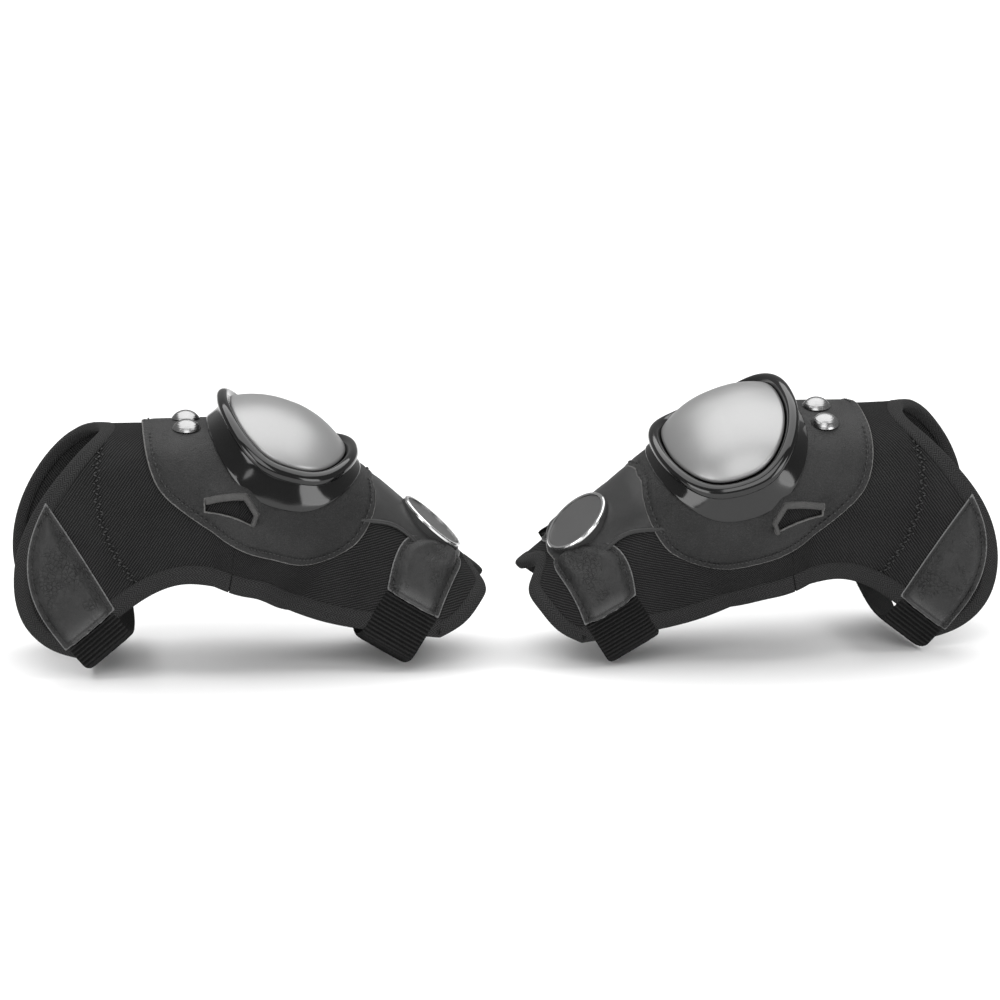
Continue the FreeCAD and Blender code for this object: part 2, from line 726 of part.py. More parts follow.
def build_pair():
    """Every node of both guards, each standing on its straps, with the origin under the pair's
    middle at its lowest point; and the shift that each guard's own origin was given."""
    guard = build_guard()
    pair = {}
    shifts = {}
    for name, (place, flip) in GUARDS.items():
        nodes = {name + "_" + node: placed(shape, place, flip) for node, shape in guard.items()}
        shifts[name] = V(0, 0, -box_of(nodes.values()).ZMin)
        for shape in nodes.values():
            shape.translate(shifts[name])
        pair.update(nodes)
    box = box_of(pair.values())
    middle = V(-box.Center.x, -box.Center.y, -box.ZMin)
    for shape in pair.values():
        shape.translate(middle)
    return pair, {name: shift + middle for name, shift in shifts.items()}


if __name__ == "__main__":
    os.makedirs("parts", exist_ok=True)
    nodes, _ = build_pair()
    for node, solid in nodes.items():
        solid.exportStep("parts/" + node + ".step")
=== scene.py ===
"""The looks of a pair of padded knee guards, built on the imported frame.

Every soft layer is cut like a garment pattern: an outline drawn on a plane tipped back by VIEW_TILT is
carried onto the skin of the leg as (s, q), where s runs along the ridge of the guard and q is the girth
from the ridge, positive on the outer side. Pattern sizes are in millimetres and meshes are in metres.
"""
import json
import logging
import math
from dataclasses import dataclass
from enum import Enum
from typing import Callable, Sequence

import bmesh
import bpy
import numpy as np
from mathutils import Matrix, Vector
from mathutils.geometry import delaunay_2d_cdt


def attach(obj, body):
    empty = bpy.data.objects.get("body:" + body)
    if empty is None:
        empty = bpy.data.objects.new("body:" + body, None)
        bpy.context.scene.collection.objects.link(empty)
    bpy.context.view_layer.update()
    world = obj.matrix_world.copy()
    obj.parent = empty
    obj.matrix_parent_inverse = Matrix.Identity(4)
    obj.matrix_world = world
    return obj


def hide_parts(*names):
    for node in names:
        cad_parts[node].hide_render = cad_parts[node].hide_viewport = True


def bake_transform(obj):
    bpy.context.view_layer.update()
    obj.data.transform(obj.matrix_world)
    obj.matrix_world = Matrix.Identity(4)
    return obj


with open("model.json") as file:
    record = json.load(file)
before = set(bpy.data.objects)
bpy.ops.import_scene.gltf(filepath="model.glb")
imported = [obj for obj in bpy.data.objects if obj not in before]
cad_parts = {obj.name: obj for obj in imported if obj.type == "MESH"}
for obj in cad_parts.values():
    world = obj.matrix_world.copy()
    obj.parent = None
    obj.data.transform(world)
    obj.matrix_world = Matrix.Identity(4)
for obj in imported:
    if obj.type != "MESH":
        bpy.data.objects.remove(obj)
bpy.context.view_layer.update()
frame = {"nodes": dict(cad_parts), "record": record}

MM = 0.001
VIEW_TILT = math.radians(15.0)
LOG = logging.getLogger("knee_guards")

Point2 = tuple[float, float]
Point3 = tuple[float, float, float]


# ---------------------------------------------------------------- shader maths


class Wire:
    """A shader socket whose arithmetic adds Math nodes."""

    def __init__(self, painter: "Painter", socket: bpy.types.NodeSocket) -> None:
        """Wrap one output socket."""
        self.painter = painter
        self.socket = socket

    def __add__(self, other: "Wire | float") -> "Wire":
        """Sum of two values."""
        return self.painter.math("ADD", self, other)

    def __radd__(self, other: float) -> "Wire":
        """Sum with a number on the left."""
        return self.painter.math("ADD", other, self)

    def __sub__(self, other: "Wire | float") -> "Wire":
        """Difference of two values."""
        return self.painter.math("SUBTRACT", self, other)

    def __rsub__(self, other: float) -> "Wire":
        """Difference from a number on the left."""
        return self.painter.math("SUBTRACT", other, self)

    def __mul__(self, other: "Wire | float") -> "Wire":
        """Product of two values."""
        return self.painter.math("MULTIPLY", self, other)

    def __rmul__(self, other: float) -> "Wire":
        """Product with a number on the left."""
        return self.painter.math("MULTIPLY", other, self)

    def __pow__(self, other: "Wire | float") -> "Wire":
        """Power of two values."""
        return self.painter.math("POWER", self, other)

    def sine(self) -> "Wire":
        """Sine of the value, from 0 to 1."""
        return self.painter.math("SINE", self) * 0.5 + 0.5

    def triangle(self, period: float) -> "Wire":
        """Distance from the nearest multiple of period."""
        return self.painter.math("PINGPONG", self, period / 2.0)

    def clipped(self) -> "Wire":
        """The value held between 0 and 1."""
        return self.painter.node("ShaderNodeClamp", {}, {"Value": self})

    def step(self, low: float, high: float) -> "Wire":
        """Smooth rise from 0 at low to 1 at high."""
        settings = {"interpolation_type": "SMOOTHSTEP"}
        return self.painter.node("ShaderNodeMapRange", settings,
                                 {"Value": self, "From Min": low, "From Max": high})


class Painter:
    """Builds the nodes of one material."""

    def __init__(self, name: str) -> None:
        """Start an empty material."""
        self.material = bpy.data.materials.new(name)
        self.material.use_nodes = True
        self.tree = self.material.node_tree
        self.tree.nodes.clear()

    def node(self, kind: str, settings: dict, sockets: dict, output: str | int = 0) -> Wire:
        """Add any node.

        Args:
            kind: the node's type.
            settings: properties that are set before the sockets.
            sockets: numbers, tuples or wires, by input name or index.
            output: which output to return.

        Returns:
            The chosen output.
        """
        made = self.tree.nodes.new(kind)
        for name, value in settings.items():
            setattr(made, name, value)
        for name, value in sockets.items():
            if isinstance(value, Wire):
                self.tree.links.new(value.socket, made.inputs[name])
            else:
                made.inputs[name].default_value = value
        return Wire(self, made.outputs[output])

    def math(self, operation: str, first: "Wire | float", second: "Wire | float" = 0.0) -> Wire:
        """One Math node."""
        return self.node("ShaderNodeMath", {"operation": operation}, {0: first, 1: second})

    def pattern(self) -> tuple[Wire, Wire]:
        """The piece's own pattern coordinates, in millimetres."""
        uv = self.node("ShaderNodeTexCoord", {}, {}, "UV")
        scaled = self.node("ShaderNodeVectorMath", {"operation": "SCALE"}, {0: uv, "Scale": 1.0 / MM})
        along = self.node("ShaderNodeSeparateXYZ", {}, {0: scaled}, "X")
        across = self.node("ShaderNodeSeparateXYZ", {}, {0: scaled}, "Y")
        return along, across

    def place(self) -> Wire:
        """Object coordinates."""
        return self.node("ShaderNodeTexCoord", {}, {}, "Object")

    def noise(self, per_metre: float, detail: float = 4.0, roughness: float = 0.55) -> Wire:
        """Noise from 0 to 1 on object coordinates."""
        sockets = {"Vector": self.place(), "Scale": per_metre, "Detail": detail, "Roughness": roughness}
        return self.node("ShaderNodeTexNoise", {}, sockets, "Fac")

    def cells(self, per_metre: float, feature: str = "F1") -> Wire:
        """Distance inside a cell pattern on object coordinates."""
        sockets = {"Vector": self.place(), "Scale": per_metre}
        return self.node("ShaderNodeTexVoronoi", {"feature": feature}, sockets, "Distance")

    def attribute(self, name: str) -> Wire:
        """A number that is stored on the mesh."""
        return self.node("ShaderNodeAttribute", {"attribute_name": name}, {}, "Fac")

    def mix(self, share: Wire, first: "Wire | tuple", second: "Wire | tuple") -> Wire:
        """Mix of two colours."""
        made = self.tree.nodes.new("ShaderNodeMix")
        made.data_type = "RGBA"
        for index, value in ((0, share), (6, first), (7, second)):
            if isinstance(value, Wire):
                self.tree.links.new(value.socket, made.inputs[index])
            else:
                made.inputs[index].default_value = value
        return Wire(self, made.outputs[2])

    def bump(self, height: Wire, depth_mm: float, strength: float = 1.0) -> Wire:
        """Normal of a height of depth_mm millimetres."""
        sockets = {"Height": height, "Distance": depth_mm * MM, "Strength": strength}
        return self.node("ShaderNodeBump", {}, sockets, "Normal")

    def surface(self, **sockets: object) -> bpy.types.Material:
        """Finish with one Principled shader; names use underscores for spaces."""
        named = {key.replace("_", " "): value for key, value in sockets.items()}
        shader = self.node("ShaderNodeBsdfPrincipled", {}, named, "BSDF")
        ending = self.tree.nodes.new("ShaderNodeOutputMaterial")
        self.tree.links.new(shader.socket, ending.inputs["Surface"])
        return self.material


def grey(level: float, warmth: float = 0.0) -> tuple[float, float, float, float]:
    """A near-neutral colour."""
    return (level * (1.0 + warmth), level, level * (1.0 - warmth), 1.0)


# ---------------------------------------------------------------- finishes


@dataclass(frozen=True)
class Twill:
    """Ribbed stretch twill with a diagonal line."""

    name: str = "twill"
    dark: float = 0.004
    light: float = 0.04
    pitch: float = 1.7
    lean: float = 35.0

    def build(self) -> bpy.types.Material:
        """Make the material."""
        paint = Painter(self.name)
        along, across = paint.pattern()
        turn = math.radians(self.lean)
        wobble = paint.noise(220.0, 3.0) * 1.2
        rib = ((along * math.cos(turn) + across * math.sin(turn) + wobble) * (math.tau / self.pitch)).sine()
        knot = ((across * math.cos(turn) - along * math.sin(turn)) * (math.tau / (self.pitch * 0.8))).sine()
        speck = paint.noise(2600.0, 2.0)
        weave = rib * (knot * 0.45 + 0.55)
        broad = paint.noise(28.0, 3.0)
        tone = (weave * 0.75 + speck * 0.45 + broad * 0.3 - 0.35).clipped()
        colour = paint.mix(tone, grey(self.dark), grey(self.light))
        height = weave + speck * 0.35
        return paint.surface(Base_Color=colour, Roughness=0.93, Specular_IOR_Level=0.12,
                             Normal=paint.bump(height, 0.6, 1.0))


@dataclass(frozen=True)
class Leather:
    """Grained leather with pale worn edges."""

    name: str
    level: float = 0.0025
    speck: float = 0.032
    grain_mm: float = 0.9
    rough: float = 0.5
    depth: float = 0.7
    crease: float = 0.35
    worn: float = 0.12

    def build(self) -> bpy.types.Material:
        """Make the material."""
        paint = Painter(self.name)
        grain = paint.cells(1000.0 / self.grain_mm)
        fine = paint.noise(1900.0, 3.0, 0.7)
        broad = paint.noise(24.0, 4.0)
        folds = paint.noise(95.0, 6.0, 0.62)
        crease = 1.0 - folds.step(0.47, 0.53) * (1.0 - folds.step(0.5, 0.56))
        edge = paint.attribute("edge")
        spots = fine.step(0.46, 0.7) * 0.75 + broad.step(0.3, 0.7) * 0.4 - grain * 0.25
        base = paint.mix(spots.clipped(), grey(self.level), grey(self.speck))
        rim = (1.0 - edge.step(0.3, 1.2)) * (paint.noise(160.0) * 0.7 + 0.6)
        colour = paint.mix(rim.clipped(), base, grey(self.worn, 0.02))
        height = grain * 0.55 + fine * 0.5 + crease * self.crease + broad * 0.6
        rough = (fine * 0.22 + broad * 0.2 + (self.rough - 0.2)).clipped()
        return paint.surface(Base_Color=colour, Roughness=rough, Specular_IOR_Level=0.3,
                             Normal=paint.bump(height, self.depth, 0.8))


@dataclass(frozen=True)
class WornLeather:
    """Creased tab leather that shines where it is rubbed; its colour also holds a painted highlight there and
    painted shade in its folds and stitch grooves.
    """

    name: str = "tab_leather"

    def build(self) -> bpy.types.Material:
        """Make the material."""
        paint = Painter(self.name)
        fine = paint.noise(1500.0, 4.0, 0.7)
        # Fold noise: it sets the bump and also darkens the colour in the sunk folds, as painted shade.
        creases_and_shade = paint.noise(210.0, 8.0, 0.7)
        borders = paint.cells(330.0, "DISTANCE_TO_EDGE")
        cracks = (1.0 - borders.step(0.0, 0.12)) * paint.noise(60.0).step(0.45, 0.65)
        rub_and_highlight = paint.attribute("rub_and_highlight")
        edge = paint.attribute("edge")
        # Rubbed places are lighter in colour: partly real wear, partly a painted highlight.
        tone = (fine * 0.3 + creases_and_shade * 0.5 + rub_and_highlight * 0.8 - 0.28).clipped()
        # Painted shade: the colour is darker in the stitch groove a few millimetres inside the edge.
        groove = 1.0 - (edge.step(2.2, 3.2) * (1.0 - edge.step(3.6, 4.6)))
        base = paint.mix(tone * (groove * 0.8 + 0.2), grey(0.002), grey(0.042))
        rim = (1.0 - edge.step(0.2, 1.1)) * 0.9
        colour = paint.mix(rim.clipped(), base, grey(0.13))
        rough = (0.44 - rub_and_highlight * 0.24 + fine * 0.14).clipped()
        height = creases_and_shade * 0.8 + fine * 0.3 - cracks * 0.5
        return paint.surface(Base_Color=colour, Roughness=rough, Specular_IOR_Level=0.45,
                             Normal=paint.bump(height, 1.3, 1.0))


@dataclass(frozen=True)
class GlossPlastic:
    """Moulded gloss black plastic with faint polishing marks."""

    name: str = "cup_plastic"

    def build(self) -> bpy.types.Material:
        """Make the material."""
        paint = Painter(self.name)
        swirl = paint.noise(35.0, 3.0)
        dust = paint.noise(900.0, 2.0).step(0.62, 0.78)
        colour = paint.mix(dust * 0.25, grey(0.0035), grey(0.012))
        rough = 0.07 + swirl * 0.07 + dust * 0.06
        return paint.surface(Base_Color=colour, Roughness=rough, Specular_IOR_Level=0.5,
                             Normal=paint.bump(swirl, 0.12, 0.35))


@dataclass(frozen=True)
class SatinDome:
    """Pale satin silver, smooth and slightly mottled."""

    name: str = "dome_satin"

    def build(self) -> bpy.types.Material:
        """Make the material."""
        paint = Painter(self.name)
        cloud = paint.noise(18.0, 3.0)
        haze = paint.noise(420.0, 3.0)
        colour = paint.mix((cloud * 0.7 + haze * 0.2).clipped(), grey(0.26), grey(0.34))
        rough = 0.34 + cloud * 0.1 + haze * 0.05
        return paint.surface(Base_Color=colour, Roughness=rough, Metallic=0.65, Specular_IOR_Level=0.5,
                             Normal=paint.bump(haze, 0.03, 0.3))


@dataclass(frozen=True)
class Steel:
    """Polished steel with hairlines."""

    name: str
    level: float = 0.5
    rough: float = 0.14

    def build(self) -> bpy.types.Material:
        """Make the material."""
        paint = Painter(self.name)
        marks = paint.noise(700.0, 5.0, 0.7)
        stain = paint.noise(120.0, 3.0)
        colour = paint.mix(stain, grey(self.level * 0.75), grey(self.level))
        rough = self.rough + marks * 0.08 + stain * 0.06
        return paint.surface(Base_Color=colour, Roughness=rough, Metallic=1.0,
                             Normal=paint.bump(marks, 0.02, 0.4))


@dataclass(frozen=True)
class Webbing:
    """Fuzzy ribbed elastic; the ribs are in the mesh, the loops are in the bump, and stripes at the rib pitch
    paint light on the ribs and shade in the grooves.
    """

    name: str = "webbing"
    pitch: float = 2.9

    def build(self) -> bpy.types.Material:
        """Make the material."""
        paint = Painter(self.name)
        along, across = paint.pattern()
        loops = paint.cells(1500.0)
        fuzz = paint.noise(2300.0, 4.0, 0.75)
        rib = (along * (math.tau / self.pitch)).sine()
        # Painted light and shade: stripes at the rib pitch make the colour lighter on the ribs and darker in
        # the grooves between them.
        tone = (fuzz.step(0.42, 0.75) * 0.6 + rib * 0.55 - loops * 0.3 - 0.1).clipped()
        colour = paint.mix(tone, grey(0.001), grey(0.038))
        height = fuzz + loops * 0.8
        return paint.surface(Base_Color=colour, Roughness=0.95, Specular_IOR_Level=0.2,
                             Normal=paint.bump(height, 0.7, 1.0))


@dataclass(frozen=True)
class Tape:
    """Herringbone binding tape."""

    name: str = "binding_tape"
    chevron: float = 5.0
    pitch: float = 2.1

    def build(self) -> bpy.types.Material:
        """Make the material."""
        paint = Painter(self.name)
        along, across = paint.pattern()
        zigzag = along + across.triangle(self.chevron) * 1.3 + paint.noise(90.0) * 1.0
        rib = (zigzag * (math.tau / self.pitch)).sine()
        fuzz = paint.noise(2100.0, 3.0, 0.7)
        tone = (rib * 0.5 + fuzz * 0.4 - 0.1).clipped()
        colour = paint.mix(tone, grey(0.003), grey(0.045))
        return paint.surface(Base_Color=colour, Roughness=0.9, Specular_IOR_Level=0.25,
                             Normal=paint.bump(rib + fuzz * 0.4, 0.55, 0.9))


@dataclass(frozen=True)
class Thread:
    """Bonded sewing thread."""

    name: str = "thread"
    level: float = 0.012

    def build(self) -> bpy.types.Material:
        """Make the material."""
        paint = Painter(self.name)
        twist = paint.noise(3000.0, 2.0)
        colour = paint.mix(twist, grey(self.level * 0.5), grey(self.level * 1.6))
        return paint.surface(Base_Color=colour, Roughness=0.6, Normal=paint.bump(twist, 0.1, 0.6))


@dataclass(frozen=True)
class Matt:
    """Matt rubber, foam or hook tape."""

    name: str
    level: float
    grain_mm: float = 0.6
    rough: float = 0.75
    depth: float = 0.15

    def build(self) -> bpy.types.Material:
        """Make the material."""
        paint = Painter(self.name)
        grain = paint.cells(1000.0 / self.grain_mm)
        broad = paint.noise(60.0)
        cloud = (broad * 0.6 + grain * 0.5).clipped()
        colour = paint.mix(cloud, grey(self.level * 0.7), grey(self.level * 1.35))
        rough = (broad * 0.15 + (self.rough - 0.08)).clipped()
        return paint.surface(Base_Color=colour, Roughness=rough, Normal=paint.bump(grain, self.depth, 0.7))


class Finish(Enum):
    """Every finish of the guards."""

    TWILL = Twill()
    LINING = Matt("lining", 0.01, 1.1, 0.95, 0.3)
    BIB = Leather("bib_leather")
    SHIN = Leather("shin_leather", level=0.016, speck=0.034, rough=0.4, depth=0.12, crease=0.15, grain_mm=0.7)
    EDGE = Leather("cut_edge", level=0.03, speck=0.07, rough=0.65)
    TAB = WornLeather()
    CUP = GlossPlastic()
    DOME = SatinDome()
    RIVET = Steel("rivet_steel", 0.34, 0.2)
    BRIGHT = Steel("badge_rim", 0.75, 0.1)
    BADGE = Matt("badge_plain", 0.045, 0.5, 0.45, 0.05)
    BACKING = Matt("badge_backing", 0.012)
    WEBBING = Webbing()
    TAPE = Tape()
    THREAD = Thread()
    HOOKS = Matt("hook_tape", 0.012, 0.9, 0.7, 0.4)


class Workshop:
    """Makes each finish once."""

    def __init__(self) -> None:
        """Start with no material made."""
        self.made: dict[Finish, bpy.types.Material] = {}

    def finish(self, wanted: Finish) -> bpy.types.Material:
        """The material of a finish."""
        if wanted not in self.made:
            self.made[wanted] = wanted.value.build()
        return self.made[wanted]

    def dress(self, obj: bpy.types.Object, *finishes: Finish) -> None:
        """Give a piece its materials, in the order of its material indices."""
        obj.data.materials.clear()
        for wanted in finishes:
            obj.data.materials.append(self.finish(wanted))


SHOP = Workshop()


# ---------------------------------------------------------------- the skin of the leg


def rise(value: np.ndarray | float, start: float, end: float) -> np.ndarray:
    """Smooth rise from 0 at start to 1 at end."""
    share = np.clip((np.asarray(value, float) - start) / (end - start), 0.0, 1.0)
    return share * share * (3.0 - 2.0 * share)


@dataclass(frozen=True)
class Leg:
    """Driving sizes of the guard's skin, in millimetres, as the frame has them."""

    ridge_height: float = 28.0
    arc_start: float = -24.0
    arc_radius: float = 172.0
    bend: float = math.radians(42.0)
    ends: Point2 = (-140.0, 228.0)
    widths: tuple[float, float, float] = (50.0, 61.0, 46.0)
    crowns: tuple[float, float, float] = (48.0, 52.0, 36.0)
    squareness: float = 2.5
    girth: float = 192.0
    step: float = 2.0

    def half_width(self, s: float) -> float:
        """Half the width across the leg at station s."""
        thigh, knee, shin = self.widths
        return float(thigh + (knee - thigh) * rise(s, -60.0, 25.0) - (knee - shin) * rise(s, 60.0, 130.0))

    def crown(self, s: float) -> float:
        """Depth of the rounded front at station s."""
        thigh, knee, shin = self.crowns
        return float(thigh + (knee - thigh) * rise(s, -60.0, 25.0) - (knee - shin) * rise(s, 60.0, 140.0))

    def ridge(self, s: float) -> tuple[float, float, float]:
        """x, z and downward slope of the ridge at station s."""
        turn = min(max(s / self.arc_radius, 0.0), self.bend)
        past = s - turn * self.arc_radius
        x = self.arc_start + self.arc_radius * math.sin(turn) + past * math.cos(turn)
        z = self.ridge_height - self.arc_radius * (1.0 - math.cos(turn)) - past * math.sin(turn)
        return x, z, turn

    def station_at(self, x: float) -> float:
        """Station of the ridge above x."""
        shin_start = self.arc_radius * self.bend
        x_shin = self.ridge(shin_start)[0]
        if x < self.arc_start:
            return x - self.arc_start
        if x > x_shin:
            return shin_start + (x - x_shin) / math.cos(self.bend)
        return self.arc_radius * math.asin((x - self.arc_start) / self.arc_radius)

    def column(self, s: float, girths: np.ndarray) -> np.ndarray:
        """Points of the outer half at station s, at these girths."""
        power = 2.0 / self.squareness
        lean = np.radians(np.linspace(0.0, 90.0, 121))
        width, crown = self.half_width(s), self.crown(s)
        y = np.append(width * np.sin(lean) ** power, width)
        up = np.append(crown * np.cos(lean) ** power - crown, -crown - self.girth)
        run = np.append(0.0, np.cumsum(np.hypot(np.diff(y), np.diff(up))))
        across, above = np.interp(girths, run, y), np.interp(girths, run, up)
        x, z, turn = self.ridge(s)
        return np.stack([x + above * math.sin(turn), -across, z + above * math.cos(turn)], 1)


class Skin:
    """The skin as a fine grid of points and normals, with lookups both ways."""

    def __init__(self, leg: Leg) -> None:
        """Work out the grid."""
        self.leg = leg
        self.stations = np.arange(leg.ends[0], leg.ends[1] + 0.1, leg.step)
        self.girths = np.arange(0.0, leg.girth, leg.step)
        self.points = np.array([leg.column(s, self.girths) for s in self.stations])
        along, around = np.gradient(self.points, leg.step, axis=(0, 1))
        normals = np.cross(around, along)
        normals[:, 0] = [[math.sin(leg.ridge(s)[2]), 0.0, math.cos(leg.ridge(s)[2])] for s in self.stations]
        self.normals = normals / np.linalg.norm(normals, axis=2, keepdims=True)
        if self.normals[40, 60, 1] > 0:
            self.normals[:, 1:] *= -1.0

    def at(self, s: np.ndarray, q: np.ndarray, n: np.ndarray | float = 0.0) -> np.ndarray:
        """Points at stations s, girths q and heights n over the skin, in millimetres."""
        s, q, n = np.broadcast_arrays(np.asarray(s, float), np.asarray(q, float), np.asarray(n, float))
        row = np.clip((s - self.stations[0]) / self.leg.step, 0, len(self.stations) - 1.001)
        col = np.clip(np.abs(q) / self.leg.step, 0, len(self.girths) - 1.001)
        i, j = row.astype(int), col.astype(int)
        a, b = (row - i)[..., None], (col - j)[..., None]
        found = []
        for grid in (self.points, self.normals):
            low = grid[i, j] * (1 - b) + grid[i, j + 1] * b
            high = grid[i + 1, j] * (1 - b) + grid[i + 1, j + 1] * b
            found.append(low * (1 - a) + high * a)
        normal = found[1] / np.linalg.norm(found[1], axis=-1, keepdims=True)
        point = found[0] + normal * n[..., None]
        point[..., 1] *= np.where(q < 0, -1.0, 1.0)
        return point

    def seen(self, points: np.ndarray) -> np.ndarray:
        """Where points of the outer side show on the tipped plane, as (u, v)."""
        v = points[..., 2] * math.cos(VIEW_TILT) + points[..., 1] * math.sin(VIEW_TILT)
        return np.stack([points[..., 0], v], -1)

    def under(self, u: float, v: float) -> Point2:
        """(s, q) of the outer side's point that shows at (u, v) on the tipped plane."""
        shown = self.seen(self.points)
        facing = -self.normals[..., 1] * math.cos(VIEW_TILT) + self.normals[..., 2] * math.sin(VIEW_TILT)
        miss = np.linalg.norm(shown - (u, v), axis=2) + np.where(facing < 0.02, 1e6, 0.0)
        i, j = np.unravel_index(np.argmin(miss), miss.shape)
        spot = np.array([self.stations[i], self.girths[j]])
        for _ in range(6):
            here = self.seen(self.at(*spot))
            ahead = self.seen(self.at(spot[0] + 0.5, spot[1])) - here
            around = self.seen(self.at(spot[0], spot[1] + 0.5)) - here
            slope = np.stack([ahead, around], 1) / 0.5
            move = np.linalg.lstsq(slope, np.array([u, v]) - here, rcond=None)[0]
            spot = spot + np.clip(move, -3.0, 3.0)
            spot[1] = max(spot[1], 0.0)
        return float(spot[0]), float(spot[1])

    def carried(self, outline: Sequence[Point2]) -> list[Point2]:
        """An outline of (u, v) carried onto the skin as (s, q)."""
        return [self.under(u, v) for u, v in outline]

    def arc_about_knee(self, radius: float, girths: Sequence[float]) -> list[Point2]:
        """Points of the thigh side at this radius from the knee axis, as (s, q)."""
        found = []
        for q in girths:
            line = self.at(self.stations, np.full(len(self.stations), q))
            reach = np.hypot(line[:, 0], line[:, 2])
            side = np.where(self.stations < 10.0)[0]
            k = side[np.argmin(np.abs(reach[side] - radius))]
            found.append((float(self.stations[k]), float(q)))
        return found


LEG = Leg()
SKIN = Skin(LEG)


class Side(Enum):
    """The two guards."""

    RIGHT = "right"
    LEFT = "left"


def joint_named(name: str) -> dict:
    """A joint of the record."""
    return next(j for j in frame["record"]["behaviour"]["joints"] if j["name"] == name)


class Placing:
    """Where one guard stands: its knee axis and its own axes, read from the record."""

    def __init__(self, side: Side) -> None:
        """Read the knee joint and the badge's face."""
        knee = joint_named(f"{side.value}_thigh_flex")
        faces = {m["name"]: m for m in frame["record"]["mounts"]}
        front = Vector(faces[f"{side.value}_badge_face"]["axis"]).normalized()
        turn = 1.0 if side is Side.RIGHT else -1.0
        self.flipped = side is Side.LEFT
        self.origin = Vector(knee["pos_m"])
        self.across = Vector(knee["axis"]).normalized() * turn
        ahead = self.across.cross(front) * turn
        self.along = ahead * math.cos(LEG.bend) + front * math.sin(LEG.bend)
        self.up = front * math.cos(LEG.bend) - ahead * math.sin(LEG.bend)

    def world(self, points: np.ndarray) -> np.ndarray:
        """Points of the guard's own frame, in millimetres, as row-frame metres."""
        axes = np.array([self.along, self.across, self.up])
        return np.array(self.origin) + (np.asarray(points) * MM) @ axes

    def one(self, x: float, y: float, z: float) -> tuple[float, float, float]:
        """One point of the guard's own frame as row-frame metres."""
        return tuple(self.world(np.array([x, y, z])))


# ---------------------------------------------------------------- outlines


def smooth_through(points: Sequence[Point2], step: float) -> list[Point2]:
    """Natural cubic curve through points, sampled about every step."""
    p = np.array(points, float)
    knots = np.append(0.0, np.cumsum(np.linalg.norm(np.diff(p, axis=0), axis=1)))
    gaps = np.diff(knots)
    size = len(p)
    system, known = np.eye(size), np.zeros((size, 2))
    for k in range(1, size - 1):
        system[k, k - 1:k + 2] = gaps[k - 1], 2 * (gaps[k - 1] + gaps[k]), gaps[k]
        known[k] = 6 * ((p[k + 1] - p[k]) / gaps[k] - (p[k] - p[k - 1]) / gaps[k - 1])
    bends = np.linalg.solve(system, known)
    at = np.linspace(0.0, knots[-1], max(int(round(knots[-1] / step)), 2) + 1)
    k = np.clip(np.searchsorted(knots, at, "right") - 1, 0, size - 2)
    h, a = gaps[k][:, None], ((knots[k + 1] - at) / gaps[k])[:, None]
    b = 1.0 - a
    curve = a * p[k] + b * p[k + 1] + ((a ** 3 - a) * bends[k] + (b ** 3 - b) * bends[k + 1]) * h * h / 6
    return [tuple(c) for c in curve]


def straight(first: Point2, last: Point2, step: float) -> list[Point2]:
    """A straight run, sampled about every step."""
    count = max(int(round(math.dist(first, last) / step)), 1)
    return [tuple(np.array(first) + (np.array(last) - np.array(first)) * k / count) for k in range(count + 1)]


def mirrored(points: Sequence[Point2]) -> list[Point2]:
    """The same outline on the inner side, in reverse order."""
    return [(s, -q) for s, q in reversed(points)]


def evened(points: Sequence[Point2], step: float) -> list[Point2]:
    """A chain of points resampled at even distances, without its last point."""
    p = np.array(points, float)
    run = np.append(0.0, np.cumsum(np.linalg.norm(np.diff(p, axis=0), axis=1)))
    at = np.linspace(0.0, run[-1], max(int(round(run[-1] / step)), 1) + 1)[:-1]
    return [tuple(c) for c in np.stack([np.interp(at, run, p[:, 0]), np.interp(at, run, p[:, 1])], 1)]


def loop_of(*stretches: Sequence[Point2], step: float) -> list[Point2]:
    """A closed outline from stretches that follow each other."""
    found: list[Point2] = []
    for stretch in stretches:
        found += evened(stretch, step)
    return found


def inside(points: np.ndarray, loop: Sequence[Point2]) -> np.ndarray:
    """Which points lie inside a closed outline."""
    edge = np.array(loop)
    result = np.zeros(len(points), bool)
    for (ax, ay), (bx, by) in zip(edge, np.roll(edge, -1, 0)):
        spans = (ay > points[:, 1]) != (by > points[:, 1])
        rise_to = (bx - ax) * (points[:, 1] - ay) / (by - ay if by != ay else 1e-12) + ax
        result ^= spans & (points[:, 0] < rise_to)
    return result


def distance_to(points: np.ndarray, chain: Sequence[Point2], closed: bool = False) -> np.ndarray:
    """Distance from each point to a chain of segments."""
    edge = np.array(chain)
    ends = np.roll(edge, -1, 0) if closed else edge[1:]
    best = np.full(len(points), 1e9)
    for a, b in zip(edge, ends):
        run = b - a
        share = np.clip(((points - a) @ run) / max(float(run @ run), 1e-9), 0.0, 1.0)
        best = np.minimum(best, np.linalg.norm(points - a - share[:, None] * run, axis=1))
    return best


